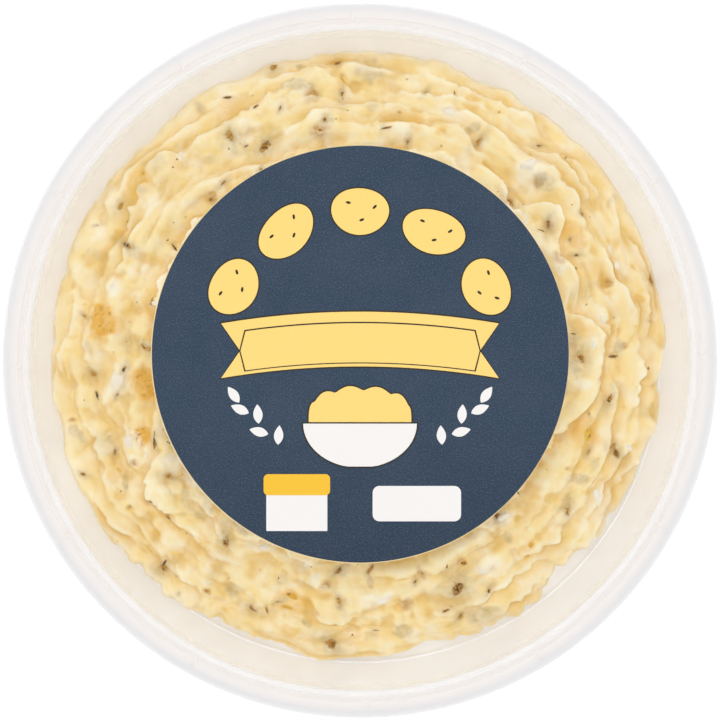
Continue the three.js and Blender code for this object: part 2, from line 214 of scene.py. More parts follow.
def spread(tree, value, low, high, to_low=0.0, to_high=1.0):
    """A value's range low to high, spread over another range and clamped."""
    ranges = {"From Min": low, "From Max": high, "To Min": to_low, "To Max": to_high}
    return add_node(tree, "MapRange", {"Value": value, **ranges})


def varied(tree, noise, low, high):
    """A value that a noise carries from low to high."""
    return spread(tree, noise, 0.3, 0.7, low, high)


def object_place(tree):
    """The place in object space."""
    return add_node(tree, "TexCoord", output="Object")


def attribute(tree, name):
    """A value that the mesh carries."""
    return add_node(tree, "Attribute", {"attribute_name": name}, "Fac")


def object_noise(tree, size_mm, detail=2.0, stretch=(1, 1, 1), roughness=0.5):
    """Noise in object space with lumps of about this size in millimetres."""
    place = add_node(tree, "Mapping", {"Scale": stretch, "Vector": object_place(tree)})
    settings = {"Scale": 1 / (size_mm * MM), "Detail": detail, "Roughness": roughness}
    return add_node(tree, "TexNoise", {"Vector": place, **settings})


def axis_distance(tree):
    """Distance from the tub's axis."""
    flat = add_node(tree, "Mapping", {"Scale": (1, 1, 0), "Vector": object_place(tree)})
    return add_node(tree, "VectorMath", {"operation": "LENGTH", 0: flat}, "Value")


def milky_polypropylene():
    """Moulded natural polypropylene, 0.8 mm thick: white and satin. Light shines through it, less
    under the foot, and a painted glow stands for light that spreads inside it, so that no part of it
    goes dark. The painted glow is weaker at the foot and creamier on the side where the salad lies
    close behind the wall."""
    material, tree = new_material("moulded_natural_polypropylene")
    streaks = object_noise(tree, 5, detail=3, stretch=(1, 1, 0.08))
    colour = ramp(tree, streaks, [(0.3, TUB_SHADE), (0.7, TUB_LIGHT)])
    place = object_place(tree)
    height = add_node(tree, "SeparateXYZ", {0: place}, "Z")
    away = (-math.cos(LEAN_ANGLE), -math.sin(LEAN_ANGLE), 0)
    side = add_node(tree, "VectorMath", {"operation": "DOT_PRODUCT", 0: place, 1: away}, "Value")
    reach = MOUTH_RADIUS * MM

    def above_foot(at_foot, above):
        return spread(tree, height, FLOOR * MM, 3 * FLOOR * MM, at_foot, above)

    body = principled(tree, {
        "IOR": 1.49,
        "Base Color": colour,
        "Roughness": varied(tree, object_noise(tree, 0.9), 0.3, 0.38),
        # Painted glow, creamier towards the salad and weaker at the foot
        "Emission Color": mixed(tree, spread(tree, side, -reach, reach), TUB_SPREAD_NEAR, TUB_SPREAD_FAR),
        "Emission Strength": above_foot(TUB_SPREAD_FOOT, TUB_SPREAD_LIGHT),
    })
    glow = add_node(tree, "BsdfTranslucent", {"Color": colour})
    return finished(material, shader_mix(tree, above_foot(TUB_FOOT_GLOW, TUB_GLOW), body, glow))


def white_polypropylene():
    """A white plastic with a glow, for the thin ring at the tub's inner corner: a painted highlight
    where the corner catches the light.
    """
    material, tree = new_material("thick_moulded_polypropylene")
    grain = object_noise(tree, 0.9)
    return finished(material, principled(tree, {
        "IOR": 1.49,
        "Base Color": ramp(tree, grain, [(0.3, "#E4E6F2"), (0.7, "#EAEBF6")]),
        "Roughness": varied(tree, grain, 0.3, 0.38),
        # The white glow is part of the painted highlight
        "Emission Color": "#FFFFFF",
        "Emission Strength": 0.24,
    }))


def clear_polypropylene(name, haze, roughness, stops, carried):
    """Clarified polypropylene sheet: seen through, with a shine at the edges of sight. haze is the
    share of milky scatter, which grows with the thickness of the moulding and glows both ways.
    stops give its colour by the radius in millimetres, and the last number is the strength of a
    painted glow, standing for light that runs inside the moulding and comes out here."""
    material, tree = new_material(name)
    inner, outer = stops[0][0], stops[-1][0]
    reach = spread(tree, axis_distance(tree), inner * MM, outer * MM)
    colour = ramp(tree, reach, [((at - inner) / (outer - inner), shade) for at, shade in stops])
    polish = varied(tree, object_noise(tree, 14), roughness, roughness + 0.06)
    sheet = principled(tree, {
        "IOR": 1.49,
        "Roughness": polish,
        "Base Color": colour,
        # A painted glow in the plastic's own colour
        "Emission Color": colour,
        "Emission Strength": carried,
    })
    milky = shader_mix(tree, 0.35, sheet, add_node(tree, "BsdfTranslucent", {"Color": colour}))
    through = add_node(tree, "BsdfTransparent", {"Color": "#FEFEFE"})
    shine = add_node(tree, "BsdfGlossy", {"Color": "#FFFFFF", "Roughness": polish})
    facing = add_node(tree, "Fresnel", {"IOR": 1.14})
    share = add_node(tree, "Math", {"operation": "MINIMUM", 0: facing, 1: MOST_SHINE})
    return finished(material, shader_mix(tree, share, shader_mix(tree, haze, through, milky), shine))


def coated_paper(name, colour, speck_colour, speck_share, foot=None):
    """Coated label paper printed in one flat colour, with the fine light dust of dry ink. foot, if
    given, is a darker colour painted towards the label's foot: painted shade, where less light falls."""
    material, tree = new_material("coated_paper_" + name)
    dust = object_noise(tree, 0.3, roughness=0.7)
    if foot is not None:
        along = add_node(tree, "SeparateXYZ", {0: object_place(tree)}, "Y")
        colour = mixed(tree, spread(tree, along, INK_FOOT * MM, INK_FULL * MM), foot, colour)
    return finished(material, principled(tree, {
        "IOR": 1.36,
        "Base Color": mixed(tree, spread(tree, dust, 0.52, 0.72, 0.0, speck_share), colour, speck_colour),
        "Roughness": varied(tree, object_noise(tree, 9, detail=3), 0.48, 0.56),
        "Normal": add_node(tree, "Bump", {"Strength": 0.12, "Distance": 0.05 * MM, "Height": dust}),
    }))


def dressing():
    """Mayonnaise dressing over mashed potato: cream, moist and slightly translucent, with a pale painted
    highlight along its lips and amber painted shade in the creases below them, yellow and pitted where
    boiled potato shows through it, white over egg, grey-green with dark bits round herb and gherkin,
    and brown at the edges of a torn bit of herb or skin. A painted glow lightens it, most of all near
    the label, whose shadow it lifts."""
    material, tree = new_material("mayonnaise_dressing")
    patches = object_noise(tree, 5, detail=4, roughness=0.55)
    creams = [(0.32, "#F8DE94"), (0.44, "#FBE5A6"), (0.56, "#FDEBBA"), (0.68, "#FFF4D6")]
    fine = object_noise(tree, 0.8, detail=5, roughness=0.65)
    base = mixed(tree, spread(tree, fine, 0.35, 0.65, 0.14, 0.0), ramp(tree, patches, creams), "#E4BC5C")
    mottle = object_noise(tree, 1.3, detail=4, roughness=0.7)
    pits = spread(tree, object_noise(tree, 0.9, detail=1), 0.62, 0.68)
    crumbs = spread(tree, object_noise(tree, 2.2, detail=5, roughness=0.7), 0.52, 0.72, 0.0, 0.6)
    potato, herb = attribute(tree, "potato"), attribute(tree, "herb")

    def within(field, pattern):
        return add_node(tree, "Math", {"operation": "MULTIPLY", 0: field, 1: pattern})

    def mottled(field, low, high, least):
        return within(field, spread(tree, mottle, low, high, least))

    torn = ramp(tree, fine, [(0.4, "#74561C"), (0.5, "#A68038"), (0.62, "#C6AC74")])
    for share, colour in (
        (mottled(potato, 0.36, 0.54, 0.75), "#E8B228"),
        (mottled(attribute(tree, "egg"), 0.3, 0.5, 0.6), "#FFF8E2"),
        (within(spread(tree, potato, 0.8, 1.0, 0.0, 0.7), pits), "#A06A0A"),
        (mottled(attribute(tree, "amber"), 0.36, 0.56, 0.45), "#B98310"),
        (mottled(herb, 0.3, 0.6, 0.4), "#C8B486"),
        (within(herb, crumbs), "#857138"),
        # Painted highlight along the lips and painted shade in the creases below them
        (attribute(tree, "lip"), "#FFF7DE"),
        (attribute(tree, "crease"), "#D9AA2C"),
        (attribute(tree, "skin"), torn),
    ):
        base = mixed(tree, share, base, colour)
    return finished(material, principled(tree, {
        "IOR": 1.38,
        "Subsurface Weight": 0.3,
        "Subsurface Radius": (0.7 * MM, 0.65 * MM, 0.4 * MM),
        "Subsurface Scale": 1.0,
        "Base Color": base,
        "Roughness": varied(tree, fine, 0.33, 0.48),
        "Normal": add_node(tree, "Bump", {"Strength": 0.45, "Distance": 0.12 * MM, "Height": fine}),
        # A painted glow, strongest near the label, whose shadow it lifts
        "Emission Color": base,
        "Emission Strength": spread(
            tree, axis_distance(tree), SALAD_SPREAD_FROM * MM, SALAD_SPREAD_TO * MM, *SALAD_SPREAD
        ),
    }))


def moist_food(name, stops, size_mm, roughness, glow, pores=None, toned=0.35, wet=1.36, edge=None):
    """A moist cut food: colours from a noise of this size and by toned each piece's own tone, with
    some light inside it. pores is the colour of small dark holes in it, edge the colour of its thin
    edge, through which the dressing shows, and wet the refraction of its skin of dressing."""
    material, tree = new_material(name)
    patches = object_noise(tree, size_mm, detail=4, roughness=0.6)
    tone = {"operation": "MULTIPLY_ADD", 0: attribute(tree, "tone"), 1: toned, 2: patches}
    colour = ramp(tree, add_node(tree, "Math", tone), stops)
    if pores is not None:
        holes = spread(tree, object_noise(tree, 0.8, detail=1), 0.6, 0.66, 0.0, 0.85)
        colour = mixed(tree, holes, colour, pores)
    if edge is not None:
        colour = mixed(tree, spread(tree, attribute(tree, "thin"), 0.5, 1.0, 0.0, 0.8), colour, edge)
    fine = object_noise(tree, 0.5, detail=3)
    return finished(material, principled(tree, {
        "IOR": wet,
        "Subsurface Weight": glow,
        "Subsurface Radius": (1.2 * MM, 1.0 * MM, 0.5 * MM),
        "Subsurface Scale": 1.0,
        "Base Color": colour,
        "Roughness": varied(tree, fine, roughness, roughness + 0.12),
        "Normal": add_node(tree, "Bump", {"Strength": 0.4, "Distance": 0.1 * MM, "Height": fine}),
    }))


def studio_white():
    """Matt white board, lit through from below like a light table."""
    material, tree = new_material("matt_white_light_table")
    return finished(material, principled(tree, {
        "Base Color": ramp(tree, object_noise(tree, 30), [(0.0, "#F8F8F8"), (1.0, "#FCFCFC")]),
        "Roughness": 0.9,
        "Emission Color": "#FFFFFF",
        "Emission Strength": 0.7,
    }))


def deselect():
    """Leaves edit mode and selects nothing."""
    if bpy.context.object and bpy.context.object.mode != "OBJECT":
        bpy.ops.object.mode_set(mode="OBJECT")
    bpy.ops.object.select_all(action="DESELECT")


def activate(piece):
    """Selects this piece alone, and makes it the active one."""
    deselect()
    piece.select_set(True)
    bpy.context.view_layer.objects.active = piece


def face_outwards():
    """Turns the faces of the mesh in edit mode outwards."""
    bpy.ops.mesh.select_all(action="SELECT")
    bpy.ops.mesh.normals_make_consistent(inside=False)


def named(name):
    """The active object, given its name."""
    piece = bpy.context.object
    piece.name = piece.data.name = name
    return piece


def new_object(name, data):
    """A new object in the scene."""
    thing = bpy.data.objects.new(name, data)
    bpy.context.scene.collection.objects.link(thing)
    return thing


def new_piece(name, points, faces, values=None):
    """A new mesh from points in millimetres, with values as attributes of its points."""
    mesh = bpy.data.meshes.new(name)
    mesh.from_pydata((np.asarray(points) * MM).tolist(), [], faces)
    for attribute_name, numbers in (values or {}).items():
        data = np.array(numbers, dtype=np.float32)
        mesh.attributes.new(attribute_name, "FLOAT", "POINT").data.foreach_set("value", data)
    return new_object(name, mesh)


def apply_place():
    """Puts the selected pieces' places in their meshes."""
    bpy.ops.object.transform_apply(location=True, rotation=True, scale=True)


def settle(piece, material, smooth=None):
    """Puts the piece's place in its mesh, and gives it its material and body. smooth is the
    angle in degrees up to which its edges are smooth."""
    activate(piece)
    apply_place()
    piece.data.materials.clear()
    piece.data.materials.append(material)
    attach(piece, "root")
    if smooth is not None:
        bpy.ops.object.shade_smooth_by_angle(angle=math.radians(smooth))
    return piece


def bevel(piece, width, segments):
    """Rounds the active piece's sharp edges."""
    rounding = piece.modifiers.new("round", "BEVEL")
    rounding.width, rounding.segments, rounding.limit_method = width * MM, segments, "ANGLE"
    bpy.ops.object.modifier_apply(modifier=rounding.name)


def bend(start, corner, end, steps):
    """Points on a curve from start to end, bent towards a corner."""
    points = []
    for i in range(steps + 1):
        t = i / steps
        weights = ((1 - t) ** 2, 2 * t * (1 - t), t * t)
        points.append(tuple(sum(w * p[k] for w, p in zip(weights, (start, corner, end))) for k in (0, 1)))
    return points


def wall_radius(height):
    """Radius of the tub's inner wall at this height."""
    share = (height - FLOOR) / (MOUTH_HEIGHT - FLOOR)
    return FLOOR_RADIUS + (MOUTH_RADIUS - FLOOR_RADIUS) * share


def turned(name, outline):
    """A shell turned from an outline of (radius, height) points. A ring is extruded from point to
    point, and its two ends are filled."""
    deselect()
    radius, height = outline[0]
    bpy.ops.mesh.primitive_circle_add(
        vertices=TURN_STEPS, radius=radius * MM, location=(0, 0, height * MM), fill_type="NGON"
    )
    piece = named(name)
    apply_place()
    bpy.ops.object.mode_set(mode="EDIT")
    bpy.context.tool_settings.mesh_select_mode = (False, True, False)
    bpy.ops.mesh.select_all(action="SELECT")
    bpy.ops.mesh.region_to_loop()
    for new_radius, new_height in outline[1:]:
        rise = (new_height - height) * MM
        bpy.ops.mesh.extrude_edges_move(TRANSFORM_OT_translate={"value": (0, 0, rise)})
        grow = new_radius / radius
        bpy.ops.transform.resize(value=(grow, grow, 1), center_override=(0, 0, new_height * MM))
        radius, height = new_radius, new_height
    bpy.ops.mesh.edge_face_add()
    face_outwards()
    bpy.ops.object.mode_set(mode="OBJECT")
    return piece


def points_from(radius, height):
    """Gives points of an outline by their distance from this one."""
    return lambda out, up: (radius + out, height + up)


def make_tub(material):
    """The tub: a raised middle and foot ring below, a slanted wall, and a flange with a hem."""
    under = FLOOR - FLOOR_THICKNESS
    flange_under = FLANGE_TOP - FLANGE_THICKNESS
    hem_inner = FLANGE_RADIUS - WALL
    hem, hem_foot = points_from(hem_inner, flange_under), points_from(hem_inner, FLANGE_TOP - FLANGE_HEM)
    edge, mouth = points_from(FLANGE_RADIUS, FLANGE_TOP), (MOUTH_RADIUS, MOUTH_HEIGHT)

    def wall(height, thickness=0.0):
        return (wall_radius(height) + thickness, height)

    outline = [
        (FOOT_INNER - 1.2, under),
        *bend((FOOT_INNER - 0.7, under * 0.6), (FOOT_INNER - 0.4, 0.05), (FOOT_INNER + 0.2, 0), 3),
        *bend((FOOT_OUTER, 0), wall(0, WALL), wall(CORNER_TOP, WALL), 10),
        *bend(wall(flange_under - 0.9, WALL), wall(flange_under, WALL), (80.1, flange_under), 4),
        *bend(hem(-0.4, 0), hem(0, 0), hem(0, -0.4), 3),
        *bend(hem_foot(0, 0.1), hem_foot(0.4, -0.1), (FLANGE_RADIUS, FLANGE_TOP - FLANGE_HEM + 0.1), 3),
        *bend(edge(0, -0.8), edge(0, 0), (hem_inner, FLANGE_TOP), 6),
        *bend((79.3, FLANGE_TOP), (MOUTH_RADIUS, FLANGE_TOP), mouth, 6),
        *bend(wall(CORNER_TOP), wall(FLOOR), (FLOOR_FLAT, FLOOR), 8),
    ]
    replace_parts(settle(turned("tub_shell", outline), material, 40), "tub")


def make_corner_line(material):
    """A thin ring of painted highlight where the tub's wall turns into its floor."""
    deselect()
    bpy.ops.mesh.primitive_torus_add(
        major_radius=CORNER_LINE_RADIUS * MM,
        minor_radius=CORNER_LINE_WIDTH / 2 * MM,
        major_segments=TURN_STEPS,
        minor_segments=8,
        location=(0, 0, CORNER_LINE_HEIGHT * MM),
    )
    settle(named("tub_corner_line"), material)
    bpy.ops.object.shade_smooth()


def make_lid(panel_material, bead_material, rim_material):
    """The lid: a flat clear panel sunk in a rim with a bead, a groove and a skirt."""
    skirt_inner = OUTER_RADIUS - SKIRT_WALL
    panel, below = points_from(PANEL_RADIUS, PANEL_TOP), points_from(PANEL_RADIUS, PANEL_TOP - LID_WALL)
    bead, under = points_from(BEAD_RADIUS, BEAD_TOP), points_from(skirt_inner, LID_UNDER)
    skirt, corner = points_from(skirt_inner, SKIRT_BOTTOM), points_from(OUTER_RADIUS, RIM_TOP)
    groove = points_from(GROOVE_RADIUS, GROOVE_FLOOR)
    outline = [
        *bend(below(0, 0), below(LID_WALL, 0), below(0.8, 0.5), 4),
        *bend(bead(-1.1, -1.6), bead(-0.8, -0.9), bead(-0.2, -0.8), 4),
        *bend(bead(0, -0.8), bead(0.4, -0.9), (BEAD_RADIUS + 0.5, LID_UNDER), 3),
        *bend(under(-1.1, 0), under(0, 0), (skirt_inner, FLANGE_TOP - 1.2), 5),
        skirt(0, 0.2),
        *bend(skirt(0.1, 0), skirt(0.35, 0), (OUTER_RADIUS - 0.1, SKIRT_BOTTOM), 2),
        (OUTER_RADIUS, SKIRT_BOTTOM + 0.2),
        *bend(corner(0, -RIM_ROUND), corner(0, 0), corner(-RIM_ROUND, 0), 10),
        *bend((GROOVE_RADIUS + 0.6, RIM_TOP), (GROOVE_RADIUS + 0.3, RIM_TOP), groove(0.2, 0), 3),
        *bend(groove(-0.2, 0), (BEAD_RADIUS + 0.9, GROOVE_FLOOR), bead(0.6, -0.2), 4),
        *bend(bead(0.3, -0.05), bead(0, 0.02), bead(-0.4, -0.03), 4),
        *bend(bead(-0.7, -0.1), bead(-1.0, -0.2), bead(-1.2, -0.6), 4),
        *bend(panel(0.5, 0.5), panel(0.35, 0), panel(-0.3, 0), 5),
    ]
    piece = settle(turned("lid_shell", outline), rim_material)
    piece.data.materials.append(bead_material)
    piece.data.materials.append(panel_material)
    for face in piece.data.polygons:
        radius = math.hypot(face.center.x, face.center.y) / MM
        face.material_index = (radius <= GROOVE_RADIUS + 0.3) + (radius < PANEL_RADIUS + 0.9)
    bpy.ops.object.shade_smooth_by_angle(angle=math.radians(40))
    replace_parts(piece, "lid")


def make_ribs(material):
    """Twelve small ribs across the lid's groove, sunk a little into it."""
    height = RIB_TOP - GROOVE_FLOOR + RIB_SUNK
    middle = (RIB_INNER + RIB_OUTER) / 2
    ribs = []
    for i in range(RIB_COUNT):
        angle = RIB_FIRST_ANGLE + TAU * i / RIB_COUNT
        x, y = middle * math.cos(angle), middle * math.sin(angle)
        deselect()
        bpy.ops.mesh.primitive_cube_add(
            size=MM,
            location=(x * MM, y * MM, (RIB_TOP - height / 2) * MM),
            rotation=(0, 0, angle),
            scale=(RIB_OUTER - RIB_INNER, RIB_WIDTH, height),
        )
        apply_place()
        ribs.append(bpy.context.object)
        bevel(ribs[-1], 0.18, 3)
    activate(ribs[0])
    for rib in ribs:
        rib.select_set(True)
    bpy.ops.object.join()
    settle(named("lid_ribs"), material, 40)


def make_label(material):
    """The label's paper disc, with a slightly rounded cut edge that the dark ink doesn't reach."""
    deselect()
    bpy.ops.mesh.primitive_cylinder_add(
        vertices=TURN_STEPS,
        radius=LABEL_RADIUS * MM,
        depth=LABEL_THICKNESS * MM,
        location=(0, LABEL_OFFSET_Y * MM, (PANEL_TOP + LABEL_THICKNESS / 2) * MM),
    )
    piece = settle(named("label_disc"), material)
    bevel(piece, 0.05, 2)
    bpy.ops.object.shade_smooth_by_angle(angle=math.radians(40))
    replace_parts(piece, "label")


def laid(points, x, y, turn):
    """Points turned and moved to a place."""
    c, s = math.cos(turn), math.sin(turn)
    return [(x + u * c - v * s, y + u * s + v * c) for u, v in points]


def oval(x, y, along, across, turn=0.0, uneven=0.0, grow=0.0, steps=48):
    """An oval, made uneven like a potato's outline. grow makes it and the shapes below larger."""
    points = []
    for i in range(steps):
        angle = TAU * i / steps
        reach = 1 + uneven * (math.sin(2 * angle + 1) + 0.6 * math.sin(3 * angle))
        points.append(((along + grow) * reach * math.cos(angle), (across + grow) * reach * math.sin(angle)))
    return laid(points, x, y, turn)


def rounded_box(x, y, width, height, corner, steps=6):
    """A rectangle with round corners."""
    points = []
    for k, (sx, sy) in enumerate([(1, 1), (-1, 1), (-1, -1), (1, -1)]):
        for i in range(steps + 1):
            angle = math.pi / 2 * (k + i / steps)
            cx, cy = x + sx * (width / 2 - corner), y + sy * (height / 2 - corner)
            points.append((cx + corner * math.cos(angle), cy + corner * math.sin(angle)))
    return points


def ribbon(x, y, width, height, notch, sag, grow=0.0, steps=24):
    """A blank title ribbon: gently arched, with notched ends."""
    half, tall = width / 2 + grow, height / 2 + grow
    across = np.linspace(-half, half, steps)
    arch = sag * (1 - (across / half) ** 2)
    top = [(x + u, y + tall + rise) for u, rise in zip(across, arch)]
    bottom = [(x + u, y - tall + rise) for u, rise in zip(-across, arch)]
    return [*top, (x + half - notch, y), *bottom, (x - half + notch, y)]


def leaf(x, y, length, width, turn, steps=14):
    """A pointed leaf from its stem end."""
    row = []
    for i in range(steps + 1):
        t = i / steps
        row.append((length * t, width / 2 * math.sin(math.pi * t) ** 0.8 * (1.15 - 0.3 * t)))
    return laid(row + [(u, -v) for u, v in row[::-1][1:-1]], x, y, turn)


def bowl_shape(x, y, half, depth, grow=0.0, steps=30):
    """A round bowl from the side, with a small foot."""
    points = [(x - half - grow, y + grow)]
    for i in range(steps + 1):
        angle = math.pi * (1 + i / steps)
        u, v = (half + grow) * math.cos(angle), (depth + grow) * math.sin(angle)
        points.append((x + u, y + max(v, -depth * 0.97 - grow)))
    return [*points, (x + half + grow, y + grow)]


def mound_shape(x, y, half, height, grow=0.0, steps=72):
    """A lumpy mound of salad on a straight base."""
    points = []
    for i in range(steps + 1):
        t = i / steps
        lump = 0.13 * abs(math.sin(5.5 * math.pi * t + 0.4))
        reach = math.sin(math.pi * t) ** 0.55
        across = (half + grow) * math.cos(math.pi * t)
        points.append((x - across, y + (height + grow) * reach * (0.87 + lump)))
    return points


def print_piece(name, shapes, layer, material):
    """Flat ink shapes on the label as one mesh. A higher layer lies over a lower one."""
    vertices, faces = [], []
    for points in shapes:
        faces.append(list(range(len(vertices), len(vertices) + len(points))))
        vertices += [(u, v + LABEL_OFFSET_Y, LABEL_TOP + INK * layer) for u, v in points]
    piece = new_piece("print_" + name, vertices, faces)
    activate(piece)
    bpy.ops.object.mode_set(mode="EDIT")
    face_outwards()
    bpy.ops.mesh.extrude_region_move(TRANSFORM_OT_translate={"value": (0, 0, INK * MM)})
    face_outwards()
    bpy.ops.object.mode_set(mode="OBJECT")
    settle(piece, material)


class Source:
    """Repeatable random numbers from 0 to 1, the same as in the model."""

    def __init__(self, seed):
        self.state = seed
        for _ in range(8):
            self()

    def __call__(self):
        self.state = self.state * 16807 % 2147483647
        return self.state / 2147483647


def unit(value):
    """A value clamped to 0 to 1."""
    return np.clip(value, 0, 1)


def angular_waves(random, bands):
    """A wavy function of the angle. A lobed wave has round lobes with sharp notches between."""
    waves = []
    for low, high, count, size, lobed in bands:
        for _ in range(count):
            cycles = low + math.floor(random() * (high - low + 1))
            phase = random() * TAU
            waves.append((cycles, phase, size * (0.6 + 0.8 * random()), lobed))

    def total(angle):
        value = np.zeros(np.shape(angle))
        for cycles, phase, size, lobed in waves:
            if lobed:
                value += size * (2 * np.abs(np.sin(cycles * angle / 2 + phase)) - 4 / math.pi)
            else:
                value += size * np.sin(cycles * angle + phase)
        return value

    return total


def lumps(random, count, lengths, size):
    """A lumpy function of the place, from crossing sine waves."""
    waves = []
    for _ in range(count):
        heading = random() * TAU
        number = TAU / (lengths[0] + (lengths[1] - lengths[0]) * random())
        waves.append((number * math.cos(heading), number * math.sin(heading), random() * TAU))
    return lambda x, y: sum(size * np.sin(kx * x + ky * y + phase) for kx, ky, phase in waves)


def smooth_noise(x, y, size, seed, around=NOISE_CELLS):
    """Smooth noise from -1 to 1 with lumps of this size. It repeats after around lumps in y."""
    table = np.random.default_rng(seed).uniform(-1, 1, (NOISE_CELLS, around))
    u, v = x / size + 10 * NOISE_CELLS, y / size + 10 * around
    i, j = np.floor(u).astype(int), np.floor(v).astype(int)
    fu, fv = u - i, v - j
    fu, fv = fu * fu * (3 - 2 * fu), fv * fv * (3 - 2 * fv)

    def row(k):
        here, there = table[i % NOISE_CELLS, k % around], table[(i + 1) % NOISE_CELLS, k % around]
        return here * (1 - fu) + there * fu

    return row(j) * (1 - fv) + row(j + 1) * fv


def turned_noise(x, y, size, seed):
    """Two smooth noises on turned grids, so that no grid shows."""
    c, s = math.cos(0.6 + seed), math.sin(0.6 + seed)
    first = smooth_noise(x * c - y * s, x * s + y * c, size, seed)
    second = smooth_noise(x * s + y * c, y * s - x * c + 3.7, size * 0.83, seed + 1)
    return 0.6 * (first + second)


def round_lumps(x, y, size, seed):
    """Round lumps, one in each cell of this size, of uneven size and height from 0 to 1."""
    random = np.random.default_rng(seed)
    cells = (NOISE_CELLS, NOISE_CELLS)
    offsets = random.uniform(0.1, 0.9, (*cells, 2))
    reach = random.uniform(0.4, 0.85, cells)
    tall = random.uniform(0.0, 1.0, cells) ** 1.5
    i, j = np.floor(x / size).astype(int), np.floor(y / size).astype(int)
    value = np.zeros(np.shape(x))
    for di in (-1, 0, 1):
        for dj in (-1, 0, 1):
            a, b = (i + di) % NOISE_CELLS, (j + dj) % NOISE_CELLS
            dx = x / size - (i + di) - offsets[a, b, 0]
            dy = y / size - (j + dj) - offsets[a, b, 1]
            away = (dx * dx + dy * dy) / reach[a, b] ** 2
            value = np.maximum(value, tall[a, b] * np.sqrt(unit(1 - away)))
    return value


def flat_place(radius, angle):
    """The x and y of a place round the heap."""
    return radius * np.cos(angle), radius * np.sin(angle)


def nearness(angle, degrees, width, power, wider=1):
    """From 1 at this place round the heap to 0 at the ends of its half width in degrees."""
    turns = (angle - math.radians(degrees)) / TAU
    apart = TAU * (turns - np.round(turns)) / (math.radians(width) * wider)
    return unit(1 - apart * apart) ** power


def mean_radius(angle):
    """Radius of the heap before its folds, as it leans towards one side."""
    return SALAD_RADIUS + LEAN * np.cos(angle - LEAN_ANGLE)


def pile_up(top, x, y, mounds):
    """Adds round mounds to a surface. Each mound is (x, y, radius, height)."""
    for middle_x, middle_y, size, height in mounds:
        near = (np.abs(x - middle_x) < size) & (np.abs(y - middle_y) < size)
        away = ((x[near] - middle_x) ** 2 + (y[near] - middle_y) ** 2) / size**2
        top[near] += height * unit(1 - away) ** 1.5


def drag_marks(radius, angle):
    """Long thin marks round the heap, from -1 to 1, left by the spoon."""
    return smooth_noise(radius, angle / TAU * DRAGS_ROUND * 1.1, DRAG_WIDTH, DRAG_SEED, DRAGS_ROUND)


def relief(x, y, radius, angle):
    """Lumps under the dressing, mostly on the left, and drag marks, mostly on the right."""
    fade = unit((radius - HEAP_COARSE_RADIUS) / 4)
    lumpy = 0.65 + 0.35 * np.cos(angle - LUMPY_SIDE)
    pebbles = sum(tall * round_lumps(x + shift, y, size, seed) for tall, size, shift, seed in PEBBLES)
    soft = sum(tall * turned_noise(x, y, size, seed) for tall, size, seed in SOFT_LUMPS)
    return fade * (lumpy * pebbles + soft + DRAG_HEIGHT * drag_marks(radius, angle) * (1.25 - lumpy))


class Fold:
    """One fold of the salad, with its place in the heap, its tongues, its rounded front and how far
    it is sunk. Its form is a function of the angle."""

    def __init__(self, index, seed, lip_width=LIP_WIDTH, lip_depth=LIP_DEPTH, sink=0.0):
        self.index, self.tongues = index, []
        self.lip_width, self.lip_depth, self.sink = lip_width, lip_depth, sink
        random = Source(seed)
        bands = [(2, 5, 3, 0.85, False), (7, 13, 2, 0.5, True), (15, 26, 3, 0.28, True)]
        self.outline = angular_waves(random, bands)
        self.waves = angular_waves(random, [(2, 4, 2, 0.6, False), (5, 11, 3, 0.42, False)])
        random = Source(RAGGED_SEED + seed)
        bands = [(34, 70, 4, 0.12, True), (90, 170, 4, 0.05, True), (170, 280, 3, 0.03, True)]
        self.notches = angular_waves(random, bands)
        self.torn_at = angular_waves(random, [(3, 9, 4, 0.3, False)])

    def ragged(self, angle):
        """How far the torn front stands out, more in some places than in others."""
        return self.notches(angle) * np.clip(0.6 + self.torn_at(angle), 0.05, 1.7)

    def height(self, angle):
        """Height of the front edge."""
        swing = EDGE_SWING * np.cos(angle - LEAN_ANGLE) * (1 - self.index / FOLD_COUNT)
        level = self.index * FOLD_RISE * (1 - 0.03 * self.index)
        lift = sum(t[3] * nearness(angle, t[0], t[2], 2, 1.5) for t in self.tongues)
        return EDGE_HEIGHT + swing + level + self.waves(angle) + lift

    def slack(self, angle):
        """From 0 to 1, how far the front has sunk into a gentle slope here."""
        rows = [row for row in SLACK if self.index >= row[3]]
        return np.maximum.reduce([row[2] * nearness(angle, row[0], row[1], 0.7) for row in rows])

    def top(self, inside, angle):
        """Height of the top at this distance inside the front."""
        slack = self.slack(angle)
        lip_width = self.lip_width * (1 + 1.4 * slack)
        out = 1 - np.clip(inside, 0, lip_width) / lip_width
        round_front = 1 - np.sqrt(unit(1 - out * out))
        drop = self.lip_depth * (round_front + slack * (0.5 - 0.5 * np.cos(math.pi * out) - round_front))
        hump = FOLD_HUMP * np.sin(math.pi * unit(inside / HUMP_WIDTH))
        rise = FOLD_SLOPE * np.minimum(inside, 2 * FOLD_SETBACK)
        return self.height(angle) + rise + hump - drop - self.sink

    def layer(self, inside, angle):
        """The distance inside the front, the top here, the full height and how crisp the front is."""
        return inside, self.top(inside, angle), self.height(angle) - self.sink, 1 - self.slack(angle)


def uppermost(radius, layers):
    """Height of the uppermost fold or the crown."""
    top = CROWN_HEIGHT - CROWN_DROP * radius * radius
    for inside, height, *_ in layers:
        top = np.where(inside >= 0, np.maximum(top, height), top)
    return top


